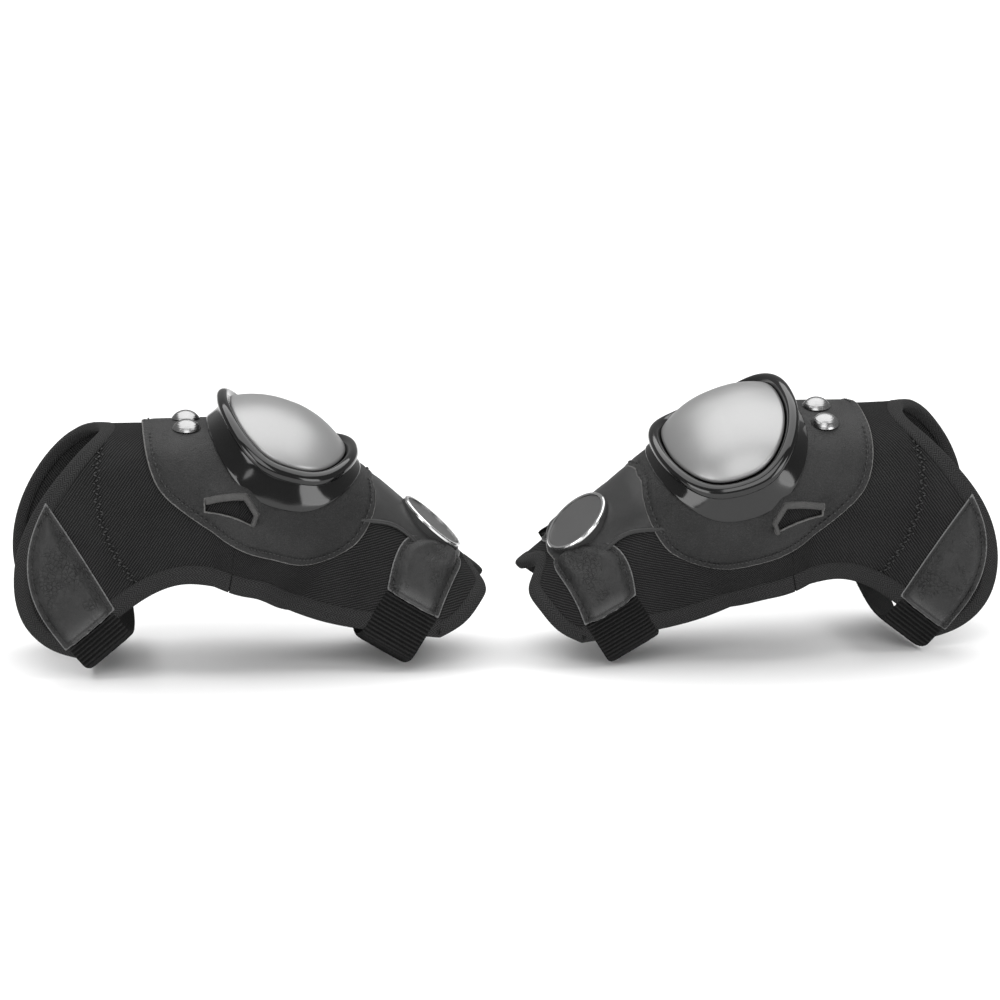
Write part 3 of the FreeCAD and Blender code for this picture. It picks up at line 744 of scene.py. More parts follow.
class Pattern:
    """The cut pieces of one guard, as outlines on the skin."""

    hem = [(-118.0, 3.0), (-138.0, -24.0), (-150.0, -48.0), (-155.0, -76.0), (-148.0, -104.5),
           (-131.0, -120.0), (-108.0, -127.0)]
    lower_edge = [(-91.5, -103.0), (-64.0, -84.0), (-46.0, -78.0), (-20.0, -81.0), (10.0, -90.0),
                  (46.0, -103.0), (79.0, -110.0), (127.0, -116.0)]
    shin_hem = [(143.0, -106.5), (155.0, -92.0), (158.5, -80.0)]
    bib_edge = [(-69.0, 22.0), (-65.5, 0.0), (-58.0, -16.5), (-44.0, -29.5), (-16.0, -50.0),
                (15.0, -62.5), (45.0, -65.0), (70.0, -54.0), (82.0, -36.0), (83.0, -12.0)]
    slot = [(-28.0, -21.5), (-2.0, -19.5), (6.0, -31.5), (3.0, -39.5), (-28.5, -29.5)]
    thigh_tab = [(-134.0, -22.0), (-143.0, -42.0), (-147.0, -64.0), (-143.0, -88.0), (-122.0, -121.0)]
    thigh_tab_front = [(-89.0, -94.0), (-112.0, -56.0), (-134.0, -22.0)]
    shin_tab = [(92.0, -83.5), (105.0, -50.0), (113.0, -47.5), (130.0, -53.0), (140.0, -62.0),
                (138.0, -76.0), (126.0, -103.5)]
    shin_seam = [(60.0, -36.0), (82.0, -38.5), (96.0, -41.5), (108.0, -50.0), (128.0, -84.0)]
    hem_front = -96.0
    shin_front = 151.0
    bib_back = -69.0
    bib_front = 84.0
    split = 24.0
    lap = 1.3

    def __init__(self) -> None:
        """Carry every outline onto the skin."""
        fine = 1.5
        front = (LEG.station_at(self.hem_front), 0.0)
        near = SKIN.carried(self.hem)
        whole = smooth_through([(s, -q) for s, q in reversed(near)] + [front] + near, fine)
        self.hem_line = whole[len(whole) // 2:]
        lower = smooth_through(SKIN.carried(self.lower_edge), fine)
        self.thigh_lower = [p for p in lower if p[0] < self.split]
        self.shin_lower = [p for p in lower if p[0] >= self.split]
        split_girth = 0.5 * (self.thigh_lower[-1][1] + self.shin_lower[0][1])
        self.split_point = (self.split, split_girth)
        end = SKIN.carried(self.shin_hem)
        last = (LEG.station_at(self.shin_front), 0.0)
        near_end = [lower[-1]] + end
        curve = smooth_through(near_end + [last] + [(s, -q) for s, q in reversed(near_end)], fine)
        self.shin_end = curve[:len(curve) // 2 + 1]
        bib = smooth_through(SKIN.carried(self.bib_edge), fine)
        self.bib_line = [(bib[0][0], 0.0)] + bib + [(bib[-1][0] + 0.8, 0.0)]
        self.slot_line = SKIN.carried(self.slot)
        back = smooth_through(SKIN.carried(self.thigh_tab), fine)
        face = smooth_through(SKIN.carried(self.thigh_tab_front), fine)
        self.thigh_tab_line = [back, straight(back[-1], face[0], fine), face]
        round_tab = smooth_through(SKIN.carried(self.shin_tab), fine)
        self.shin_tab_line = [round_tab, straight(round_tab[-1], round_tab[0], fine)]
        self.shin_seam_line = smooth_through(SKIN.carried(self.shin_seam), fine)
        self.thigh_seam = SKIN.arc_about_knee(100.0, np.arange(28.0, 150.0, 4.0))

    def thigh_half(self, step: float) -> list[Point2]:
        """Closed outline of the textile from the split to the thigh hem."""
        corner = (self.split + self.lap, self.split_point[1])
        side = [self.hem_line, [self.hem_line[-1], self.thigh_lower[0]], self.thigh_lower,
                [self.thigh_lower[-1], corner]]
        across = [corner, (corner[0], -corner[1])]
        back = [mirrored(part) for part in reversed(side)]
        return loop_of(*side, across, *back, step=step)

    def shin_half(self, step: float) -> list[Point2]:
        """Closed outline of the textile from the split to the shin end."""
        corner = (self.split - self.lap, self.split_point[1])
        side = [[corner, self.shin_lower[0]], self.shin_lower, self.shin_end]
        across = [(corner[0], -corner[1]), corner]
        back = [mirrored(part) for part in reversed(side)]
        return loop_of(*side, *back, across, step=step)

    def bib(self, step: float) -> list[Point2]:
        """Closed outline of the bib."""
        return loop_of(self.bib_line, mirrored(self.bib_line), step=step)


PATTERN = Pattern()


# ---------------------------------------------------------------- meshes


@dataclass
class Cloth:
    """A flat cut: points of the pattern, triangles, and the edges of its border."""

    spots: np.ndarray
    triangles: list[tuple[int, int, int]]
    border: list[tuple[int, int]]


def cut_cloth(loop: Sequence[Point2], holes: Sequence[Sequence[Point2]], lines: Sequence[Sequence[Point2]],
              spacing: float) -> Cloth:
    """Fill an outline with even triangles.

    Args:
        loop: the closed outline.
        holes: closed outlines that are left open.
        lines: chains that the triangles follow.
        spacing: size of a triangle.

    Returns:
        The filled cut.
    """
    fixed: list[Point2] = []
    edges: list[tuple[int, int]] = []
    for chain, closed in [(loop, True)] + [(h, True) for h in holes] + [(c, False) for c in lines]:
        start = len(fixed)
        fixed += list(chain)
        edges += [(start + k, start + k + 1) for k in range(len(chain) - 1)]
        if closed:
            edges.append((len(fixed) - 1, start))
    border = np.array(fixed)
    low, high = border.min(0), border.max(0)
    rows = np.arange(low[1], high[1], spacing * 0.866)
    grid = np.array([(x + (k % 2) * spacing / 2, y) for k, y in enumerate(rows)
                     for x in np.arange(low[0], high[0], spacing)])
    grid = grid[inside(grid, loop)]
    for hole in holes:
        grid = grid[~inside(grid, hole)]
    for chain, closed in [(loop, True)] + [(h, True) for h in holes] + [(c, False) for c in lines]:
        grid = grid[distance_to(grid, chain, closed) > spacing * 0.55]
    coords = [Vector(p) for p in np.vstack([border, grid])]
    verts, _, faces, *_ = delaunay_2d_cdt(coords, edges, [], 0, 1e-4)
    spots = np.array([tuple(v) for v in verts])
    middles = np.array([spots[list(f)].mean(0) for f in faces])
    keep = inside(middles, loop)
    for hole in holes:
        keep &= ~inside(middles, hole)
    triangles = [tuple(f) for f, k in zip(faces, keep) if k]
    used = sorted({v for t in triangles for v in t})
    renumber = {old: new for new, old in enumerate(used)}
    triangles = [tuple(renumber[v] for v in t) for t in triangles]
    count: dict[tuple[int, int], int] = {}
    for a, b, c in triangles:
        for e in ((a, b), (b, c), (c, a)):
            count[e] = count.get(e, 0) + 1
    rim = [e for e in count if (e[1], e[0]) not in count]
    return Cloth(spots[used], triangles, rim)


def make_object(name: str, verts: np.ndarray, faces: list, uv: np.ndarray | None = None,
                parts: list[int] | None = None) -> bpy.types.Object:
    """A smooth mesh object with normals outwards.

    Args:
        name: the piece's name.
        verts: points in metres.
        faces: corner indices.
        uv: pattern coordinates of each point, in metres.
        parts: material index of each face.

    Returns:
        The object.
    """
    mesh = bpy.data.meshes.new(name)
    mesh.from_pydata([tuple(v) for v in verts], [], faces)
    mesh.polygons.foreach_set("use_smooth", [True] * len(mesh.polygons))
    if parts is not None:
        mesh.polygons.foreach_set("material_index", parts)
    if uv is not None:
        layer = mesh.uv_layers.new(name="pattern")
        corner = np.empty(len(mesh.loops), int)
        mesh.loops.foreach_get("vertex_index", corner)
        layer.data.foreach_set("uv", np.asarray(uv, float)[corner].ravel())
    work = bmesh.new()
    work.from_mesh(mesh)
    bmesh.ops.recalc_face_normals(work, faces=work.faces[:])
    work.to_mesh(mesh)
    work.free()
    mesh.update()
    obj = bpy.data.objects.new(name, mesh)
    bpy.context.collection.objects.link(obj)
    return obj


def store(obj: bpy.types.Object, name: str, values: np.ndarray) -> None:
    """Store one number on each point of a mesh."""
    attribute = obj.data.attributes.new(name, "FLOAT", "POINT")
    attribute.data.foreach_set("value", np.asarray(values, np.float32))


def layered(name: str, place: Placing, cloth: Cloth, outer: np.ndarray, inner: np.ndarray,
            finishes: tuple[Finish, Finish, Finish]) -> bpy.types.Object:
    """A closed piece of two faces and a rim.

    Args:
        name: the piece's name.
        place: the guard that it belongs to.
        cloth: the flat cut.
        outer: height of the outer face over the skin at each point, in millimetres.
        inner: the same for the inner face.
        finishes: outer face, inner face and rim.

    Returns:
        The object; its points are the outer face's and then the inner face's.
    """
    s, q = cloth.spots[:, 0], cloth.spots[:, 1]
    count = len(s)
    points = np.vstack([SKIN.at(s, q, outer), SKIN.at(s, q, inner)])
    faces = list(cloth.triangles)
    faces += [(c + count, b + count, a + count) for a, b, c in cloth.triangles]
    faces += [(b, a, a + count, b + count) for a, b in cloth.border]
    parts = [0] * len(cloth.triangles) + [1] * len(cloth.triangles) + [2] * len(cloth.border)
    uv = np.vstack([cloth.spots, cloth.spots]) * MM
    obj = make_object(name, place.world(points), faces, uv, parts)
    SHOP.dress(obj, *finishes)
    return obj


def swept(name: str, place: Placing, rings: np.ndarray, finish: Finish,
          closed: bool = False) -> bpy.types.Object:
    """A tube of rings of points in the guard's frame.

    Args:
        name: the piece's name.
        place: the guard that it belongs to.
        rings: array of rings by points by coordinates, in millimetres.
        finish: its finish.
        closed: whether the last ring joins the first.

    Returns:
        The object, whose pattern runs along and across the tube.
    """
    count, size = rings.shape[:2]
    faces = []
    for i in range(count if closed else count - 1):
        for j in range(size):
            a, b = i * size + j, i * size + (j + 1) % size
            c, d = ((i + 1) % count) * size + (j + 1) % size, ((i + 1) % count) * size + j
            faces.append((a, b, c, d))
    if not closed:
        faces += [tuple(range(size))[::-1], tuple(range((count - 1) * size, count * size))]
    along = np.append(0.0, np.cumsum(np.linalg.norm(np.diff(rings.mean(1), axis=0), axis=1)))
    around = np.append(0.0, np.cumsum(np.linalg.norm(np.diff(rings[count // 2], axis=0), axis=1)))
    uv = np.stack(np.broadcast_arrays(along[:, None], around[None, :]), -1).reshape(-1, 2) * MM
    obj = make_object(name, place.world(rings.reshape(-1, 3)), faces, uv)
    SHOP.dress(obj, finish)
    return obj


def inward(path: np.ndarray, middle: Point2) -> np.ndarray:
    """Unit steps across a path, on the side of middle."""
    run = np.gradient(path, axis=0)
    run /= np.linalg.norm(run, axis=1, keepdims=True)
    across = np.stack([-run[:, 1], run[:, 0]], 1)
    facing = np.sum(across * (np.array(middle) - path), axis=1)
    return across * (1.0 if np.median(facing) > 0 else -1.0)


def edge_tube(name: str, place: Placing, path: Sequence[Point2], middle: Point2,
              profile: Sequence[Point2], finish: Finish) -> bpy.types.Object:
    """A band of this closed profile along an edge.

    Args:
        name: the piece's name.
        place: the guard that it belongs to.
        path: the edge, as (s, q).
        middle: a point on the inner side of the edge.
        profile: (inset from the edge, height over the skin), in millimetres.
        finish: its finish.

    Returns:
        The object.
    """
    line = np.array(path)
    steps = inward(line, middle)
    rings = []
    for spot, step in zip(line, steps):
        ring = np.array([spot + step * inset for inset, _ in profile])
        rings.append(SKIN.at(ring[:, 0], ring[:, 1], np.array([n for _, n in profile])))
    return swept(name, place, np.array(rings), finish)


def stitches(name: str, place: Placing, path: Sequence[Point2], height: float, pitch: float = 3.4,
             length: float = 2.3, radius: float = 0.38) -> bpy.types.Object:
    """A row of short stitches along a path, joined as one piece."""
    line = np.array(path)
    run = np.append(0.0, np.cumsum(np.linalg.norm(np.diff(line, axis=0), axis=1)))
    verts, faces = [], []
    for start in np.arange(pitch / 2, run[-1] - length, pitch):
        at = start + np.linspace(0.0, length, 4)
        spots = np.stack([np.interp(at, run, line[:, 0]), np.interp(at, run, line[:, 1])], 1)
        lift = height + radius * np.array([-0.9, 0.35, 0.35, -0.9])
        centre = SKIN.at(spots[:, 0], spots[:, 1], lift)
        ahead = centre[-1] - centre[0]
        ahead /= np.linalg.norm(ahead)
        up = SKIN.at(spots[1:2, 0], spots[1:2, 1], 1.0)[0] - SKIN.at(spots[1:2, 0], spots[1:2, 1], 0.0)[0]
        beside = np.cross(ahead, up)
        base = len(verts)
        for c, swell in zip(centre, (0.55, 1.0, 1.0, 0.55)):
            for k in range(6):
                turn = k * math.tau / 6
                verts.append(c + radius * swell * (math.cos(turn) * beside + math.sin(turn) * up))
        for i in range(3):
            for k in range(6):
                a, b = base + i * 6 + k, base + i * 6 + (k + 1) % 6
                faces.append((a, b, b + 6, a + 6))
        faces += [tuple(base + k for k in reversed(range(6))), tuple(base + 18 + k for k in range(6))]
    obj = make_object(name, place.world(np.array(verts)), faces)
    SHOP.dress(obj, Finish.THREAD)
    return obj


def subdivide(obj: bpy.types.Object, levels: int = 1) -> None:
    """Apply one Subdivision Surface modifier."""
    modifier = obj.modifiers.new("soften", "SUBSURF")
    modifier.levels = modifier.render_levels = levels
    modifier.use_limit_surface = False
    modifier.uv_smooth = "NONE"
    apply_modifier(obj, modifier.name)


def apply_modifier(obj: bpy.types.Object, name: str) -> None:
    """Apply one modifier of a piece that nothing else is selected with."""
    bpy.ops.object.select_all(action="DESELECT")
    obj.select_set(True)
    bpy.context.view_layer.objects.active = obj
    bpy.ops.object.modifier_apply(modifier=name)


def inflate(obj: bpy.types.Object, pinned: np.ndarray, pressure: float, cap_mm: float) -> None:
    """Blow up a closed piece like a stuffed pad.

    Args:
        obj: the piece.
        pinned: which points stay where they are sewn.
        pressure: air pressure of the cloth.
        cap_mm: the furthest that a point may move.
    """
    rest = np.array([tuple(v.co) for v in obj.data.vertices])
    group = obj.vertex_groups.new(name="sewn")
    group.add([int(k) for k in np.nonzero(pinned)[0]], 1.0, "REPLACE")
    cloth = obj.modifiers.new("stuffing", "CLOTH")
    settings = cloth.settings
    settings.quality = 5
    settings.mass = 0.15
    settings.tension_stiffness = settings.compression_stiffness = 12.0
    settings.shear_stiffness = 6.0
    settings.bending_stiffness = 0.8
    settings.use_pressure = True
    settings.uniform_pressure_force = pressure
    settings.vertex_group_mass = "sewn"
    settings.effector_weights.gravity = 0.0
    scene = bpy.context.scene
    cloth.point_cache.frame_start, cloth.point_cache.frame_end = 1, 16
    for step in range(1, 17):
        scene.frame_set(step)
    graph = bpy.context.evaluated_depsgraph_get()
    shown = obj.evaluated_get(graph)
    moved = np.array([tuple(v.co) for v in shown.data.vertices]) - rest
    far = np.linalg.norm(moved, axis=1, keepdims=True)
    scale = np.minimum(1.0, cap_mm * MM / np.maximum(far, 1e-9))
    soft = scale * (1.0 - 0.25 * scale)
    obj.modifiers.remove(cloth)
    obj.vertex_groups.remove(group)
    obj.data.vertices.foreach_set("co", (rest + moved * soft).ravel())
    obj.data.update()
    scene.frame_set(1)


# ---------------------------------------------------------------- the textile body


@dataclass
class TextileBody:
    """The padded textile of one guard: two halves that meet under the bib, with their bindings."""

    side: Side
    place: Placing
    spacing: float = 3.6
    thick: float = 9.2
    wing_thick: float = 5.4
    rim_thick: float = 4.4
    pressure: float = 5.0
    cap: float = 2.6
    hem_width: float = 9.5
    edge_width: float = 12.5
    thigh_bend: tuple[Point3, Point3] = ((-70, 0, 0), (-90, 0, 0))
    shin_bend: tuple[Point3, Point3] = ((58, 0, -22), (92, 0, -36))

    def name(self, piece: str) -> str:
        """Name of a piece of this guard."""
        return f"{self.side.value}_{piece}_soft"

    def covered(self, spots: np.ndarray) -> np.ndarray:
        """Which points lie under leather and so stay flat."""
        folded = np.stack([spots[:, 0], np.abs(spots[:, 1])], 1)
        under = np.zeros(len(spots), bool)
        loops = [PATTERN.bib_line, [p for part in PATTERN.thigh_tab_line for p in part[:-1]],
                 [p for part in PATTERN.shin_tab_line for p in part[:-1]], self.shin_leather()]
        for loop in loops:
            under |= inside(folded, loop) | (distance_to(folded, loop, True) < 2.0)
        return under

    @staticmethod
    def shin_leather() -> list[Point2]:
        """Half outline of the shin leather, from the ridge round its seam."""
        seam = PATTERN.shin_seam_line
        return [(seam[0][0], 0.0)] + list(seam) + [(seam[-1][0] + 6.0, 0.0)]

    def half(self, name: str, loop: list[Point2], seams: list[list[Point2]],
             open_end: float) -> bpy.types.Object:
        """One padded half, stuffed by cloth simulation between its sewn lines.

        Args:
            name: the half's name.
            loop: its closed outline on the skin.
            seams: the sewn lines that cross it.
            open_end: where the half is cut and meets the other one.

        Returns:
            The object.
        """
        cloth = cut_cloth(loop, [], seams, self.spacing)
        spots = cloth.spots
        folded = np.stack([spots[:, 0], np.abs(spots[:, 1])], 1)
        rim = distance_to(spots, loop, True)
        rim = np.where(np.abs(spots[:, 0] - open_end) < 14.0, 20.0, rim)
        outer = -0.9 * (1.0 - rise(rim, 0.0, 7.0))
        points = SKIN.at(spots[:, 0], spots[:, 1])
        wing = rise(np.hypot(points[:, 0], points[:, 2]), 94.0, 106.0) * (points[:, 0] < 0)
        thick = self.thick + (self.wing_thick - self.thick) * wing
        inner = -(self.rim_thick + (thick - self.rim_thick) * rise(rim, 0.0, 16.0))
        sewn = rim < 1.0
        for seam in seams:
            gap = distance_to(spots, seam)
            along = spots[:, 1] * 0.9
            pucker = 0.55 * np.sin(along) + 0.35 * np.sin(along * 0.57 + 1.3)
            outer = outer - 1.9 * np.exp(-(gap / 2.4) ** 2) + pucker * np.exp(-((gap - 4.5) / 2.6) ** 2)
            inner = inner + 1.2 * np.exp(-(gap / 3.0) ** 2)
            sewn |= gap < 0.8
        flat = self.covered(folded)
        outer = np.where(flat, np.minimum(outer, -0.1), outer)
        obj = layered(self.name(name), self.place, cloth, outer, inner,
                      (Finish.TWILL, Finish.LINING, Finish.TAPE))
        at_split = np.abs(spots[:, 0] - open_end) < PATTERN.lap + 1.0
        pinned = np.concatenate([sewn | flat | at_split, sewn | at_split])
        inflate(obj, pinned, self.pressure, self.cap)
        subdivide(obj)
        return obj

    def binding(self, name: str, path: list[Point2], middle: Point2, width: float) -> bpy.types.Object:
        """Binding tape folded over an edge."""
        back = -self.rim_thick - 0.9
        profile = [(width, -0.2), (width - 0.3, 0.45), (width * 0.55, 0.75), (2.4, 0.75), (0.6, 0.45),
                   (-0.6, -0.5),
                   (-0.9, -self.rim_thick / 2), (-0.5, back + 0.8), (0.8, back), (3.0, back - 0.1),
                   (width * 0.7, back - 0.9), (width * 0.72, back + 0.6), (width * 0.6, -2.0)]
        return edge_tube(self.name(name), self.place, path, middle, profile, Finish.TAPE)

    @staticmethod
    def zigzag(line: list[Point2], reach: float = 2.6, pitch: float = 3.0) -> list[Point2]:
        """A zigzag of stitches across a seam."""
        points = evened(line, pitch)
        return [(s + (reach if k % 2 else -reach), q) for k, (s, q) in enumerate(points)]

    def build(self) -> None:
        """Make both halves and all bindings."""
        s = self.side.value
        seam = [p for p in PATTERN.thigh_seam if inside(np.array([p]), PATTERN.thigh_half(3.0))[0]]
        seams = [smooth_through(seam, self.spacing), smooth_through(mirrored(seam), self.spacing)]
        thigh = self.half("thigh_half", PATTERN.thigh_half(self.spacing), seams, PATTERN.split)
        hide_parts(f"{s}_knee_textile", f"{s}_knee_foam", f"{s}_knee_lining", f"{s}_thigh_wing_outer",
                    f"{s}_thigh_wing_inner", f"{s}_thigh_backings")
        shin = self.half("shin_half", PATTERN.shin_half(self.spacing), [], PATTERN.split)
        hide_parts(f"{s}_shin_sides", f"{s}_shin_foam", f"{s}_shin_lining")
        hem = mirrored(PATTERN.hem_line) + PATTERN.hem_line[1:]
        thigh_bits = [thigh, self.binding("thigh_hem", hem, (-60.0, 0.0), self.hem_width)]
        rows = [stitches(f"{s}_wing_seam_{k}", self.place, self.zigzag(line), -0.9, 3.6, 3.1, 0.6)
                for k, line in enumerate(seams)]
        shin_bits = [shin]
        for word, flip in (("outer", False), ("inner", True)):
            for kind, line, target in (("thigh", PATTERN.thigh_lower, thigh_bits),
                                       ("shin", PATTERN.shin_lower, shin_bits)):
                path = mirrored(line) if flip else line
                middle = (0.0, -40.0) if flip else (0.0, 40.0)
                target.append(self.binding(f"{kind}_lower_{word}", path, middle, self.edge_width))
        end = PATTERN.shin_end + mirrored(PATTERN.shin_end)[1:]
        shin_bits.append(self.binding("shin_hem", end, (150.0, 0.0), self.hem_width))
        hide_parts(f"{s}_thigh_hems")
        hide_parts(f"{s}_knee_edge_binding")
        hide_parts(f"{s}_shin_edge_binding")
        for piece in thigh_bits[1:] + shin_bits[1:]:
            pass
        for piece in thigh_bits + rows:
            self.place.one(*self.thigh_bend[0])
            self.place.one(*self.thigh_bend[1])
            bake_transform(piece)
        for piece in shin_bits:
            self.place.one(*self.shin_bend[0])
            self.place.one(*self.shin_bend[1])
            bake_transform(piece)


# ---------------------------------------------------------------- leather


@dataclass
class Bib:
    """The leather bib with its side slots, edge stitching and slot lips."""

    side: Side
    place: Placing
    low: float = 0.2
    top: float = 2.4
    lift: float = 4.6
    stitch_inset: float = 4.6
    slot_step: float = 1.5

    def build(self) -> None:
        """Make the bib and its stitches."""
        s = self.side.value
        corners = PATTERN.slot_line
        crest_line, foot_line = corners[:3], corners[3:5]
        fine = self.slot_step
        sides = [straight(a, b, fine) for a, b in zip(corners, corners[1:] + corners[:1])]
        slot = loop_of(*sides, step=fine)
        far_slot = [(a, -b) for a, b in reversed(slot)]
        loop = PATTERN.bib(2.2)
        cloth = cut_cloth(loop, [slot, far_slot], [], 2.6)
        spots = np.stack([cloth.spots[:, 0], np.abs(cloth.spots[:, 1])], 1)
        rim = distance_to(cloth.spots, loop, True)
        crest, foot = distance_to(spots, crest_line), distance_to(spots, foot_line)
        above = rise(crest - foot, -60.0, 0.0)
        gap = distance_to(spots, slot, True)
        raised = self.lift * np.exp(-(crest / 6.5) ** 2) * (1.0 - np.clip(above, 0.0, 1.0) * 0.3)
        raised *= 1.0 - rise(crest - foot, -2.0, 4.0)
        groove = 0.9 * np.exp(-((rim - self.stitch_inset) / 1.2) ** 2)
        outer = self.top - 0.7 * (1.0 - rise(rim, 0.0, 1.4)) + raised - groove
        inner = np.full(len(spots), self.low) + raised
        obj = layered(f"{s}_bib_leather", self.place, cloth, outer, inner,
                      (Finish.BIB, Finish.EDGE, Finish.EDGE))
        store(obj, "edge", np.tile(np.minimum(rim, gap), 2))
        subdivide(obj)
        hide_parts(f"{s}_bib", f"{s}_bib_slot_lips")
        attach(obj, f"{s}_knee")
        turns = [k * math.tau / 12 for k in range(12)]
        crest_height = self.top + self.lift * 0.68
        roll = [(2.3 * math.cos(turn) - 1.4, crest_height + 1.9 * math.sin(turn)) for turn in turns]
        for word, sign in (("outer", 1.0), ("inner", -1.0)):
            edge = evened([(a, b * sign) for a, b in corners[:4]], fine) + [
                (corners[3][0], corners[3][1] * sign)]
            lip = edge_tube(f"{s}_slot_lip_{word}", self.place, edge, (-15.0, 30.0 * sign), roll, Finish.BIB)
            store(lip, "edge", np.full(len(lip.data.vertices), 0.85))
            subdivide(lip)
            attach(lip, f"{s}_knee")
        line = np.array(PATTERN.bib_line[1:-1])
        path = line + inward(line, (20.0, 30.0)) * self.stitch_inset
        for word, sign in (("outer", 1.0), ("inner", -1.0)):
            row = stitches(f"{s}_bib_stitches_{word}", self.place, [(a, b * sign) for a, b in path],
                           self.top - 0.15, 4.1, 2.7, 0.6)
            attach(row, f"{s}_knee")


@dataclass
class Tab:
    """A padded leather tab that the strap is sewn under."""

    side: Side
    place: Placing
    kind: str
    lines: list[list[Point2]]
    body: str
    low: float = 0.2
    edge_top: float = 1.7
    puff: float = 3.4
    stitch_inset: float = 3.4

    def build(self) -> None:
        """Make the outer and inner tab with their stitches."""
        s = self.side.value
        for word, sign in (("outer", 1.0), ("inner", -1.0)):
            lines = [[(a, b * sign) for a, b in part] for part in self.lines]
            loop = loop_of(*lines, step=2.0)
            mouth = lines[1]
            sewn = [p for part in lines[:1] + lines[2:] for p in part]
            cloth = cut_cloth(loop, [], [], 2.3)
            rim = distance_to(cloth.spots, loop, True)
            side_gap = distance_to(cloth.spots, lines[0])
            for part in lines[2:]:
                side_gap = np.minimum(side_gap, distance_to(cloth.spots, part))
            mouth_gap = distance_to(cloth.spots, mouth)
            groove = 1.5 * np.exp(-((side_gap - self.stitch_inset) / 1.1) ** 2) * rise(mouth_gap, 1.0, 4.0)
            swell = self.puff * rise(side_gap, self.stitch_inset, 10.0)
            wave = 1.7 * np.sin(cloth.spots[:, 1] * 0.17)
            crease = 0.7 * np.sin(cloth.spots[:, 0] * 0.21 + wave) * rise(rim, 4.0, 11.0)
            outer = self.edge_top - 0.6 * (1.0 - rise(rim, 0.0, 1.2)) + swell - groove + crease
            inner = np.full(len(cloth.spots), self.low)
            obj = layered(f"{s}_{self.kind}_tab_{word}_leather", self.place, cloth, outer, inner,
                          (Finish.TAB, Finish.EDGE, Finish.EDGE))
            store(obj, "edge", np.tile(rim, 2))
            # Band near the mouth: worn shine in the roughness and a painted highlight in the colour.
            rub_and_highlight = np.exp(-((mouth_gap - 4.0) / 5.0) ** 2) * rise(side_gap, 3.0, 9.0)
            store(obj, "rub_and_highlight", np.tile(rub_and_highlight, 2))
            subdivide(obj)
            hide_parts(*self.stands_for(word))
            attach(obj, f"{s}_{self.body}")
            for number, part in enumerate(lines[:1] + lines[2:]):
                line = np.array(part)
                path = line + inward(line, tuple(cloth.spots.mean(0))) * self.stitch_inset
                row = stitches(f"{s}_{self.kind}_tab_{word}_stitches_{number}", self.place,
                               [tuple(p) for p in path], self.edge_top - 0.55, 3.2, 2.2, 0.45)
                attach(row, f"{s}_{self.body}")

    def stands_for(self, word: str) -> list[str]:
        """The frame's nodes that this tab replaces."""
        s = self.side.value
        if self.kind == "thigh":
            return [f"{s}_thigh_tab_{word}"]
        return [f"{s}_shin_tabs"] if word == "outer" else []


@dataclass
class ShinPanel:
    """The smooth leather over the shin and the piping along its seam."""

    side: Side
    place: Placing
    low: float = 0.1
    top: float = 1.3
    start: float = 112.0
    end_inset: float = 11.0

    def build(self) -> None:
        """Make the panel and the piping."""
        s = self.side.value
        seam = [p for p in PATTERN.shin_seam_line if p[0] > self.start]
        tip = LEG.station_at(PATTERN.shin_front) - self.end_inset
        end = smooth_through([seam[-1], (tip - 3.0, seam[-1][1] * 0.62), (tip, 0.0)], 2.0)
        half = [(self.start, 0.0), seam[0]] + seam + end[1:]
        loop = loop_of(half, mirrored(half), step=2.2)
        cloth = cut_cloth(loop, [], [], 2.8)
        rim = distance_to(cloth.spots, loop, True)
        outer = self.top - 0.5 * (1.0 - rise(rim, 0.0, 1.5)) + 0.6 * rise(rim, 2.0, 14.0)
        inner = np.full(len(rim), self.low)
        obj = layered(f"{s}_shin_leather", self.place, cloth, outer, inner,
                      (Finish.SHIN, Finish.EDGE, Finish.EDGE))
        store(obj, "edge", np.tile(rim, 2))
        subdivide(obj)
        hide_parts(f"{s}_shin_panel")
        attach(obj, f"{s}_shin")
        turns = [k * math.tau / 10 for k in range(10)]
        bead = [(1.6 * math.cos(turn) + 0.3, 1.1 + 1.3 * math.sin(turn)) for turn in turns]
        for word, sign in (("outer", 1.0), ("inner", -1.0)):
            path = [(a, b * sign) for a, b in seam]
            cord = edge_tube(f"{s}_shin_piping_{word}", self.place, path, (150.0, 0.0), bead, Finish.SHIN)
            store(cord, "edge", np.full(len(cord.data.vertices), 5.0))
            subdivide(cord)
            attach(cord, f"{s}_shin")
            if word == "outer":
                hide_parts(f"{s}_shin_piping")


# ---------------------------------------------------------------- cup, dome and metal


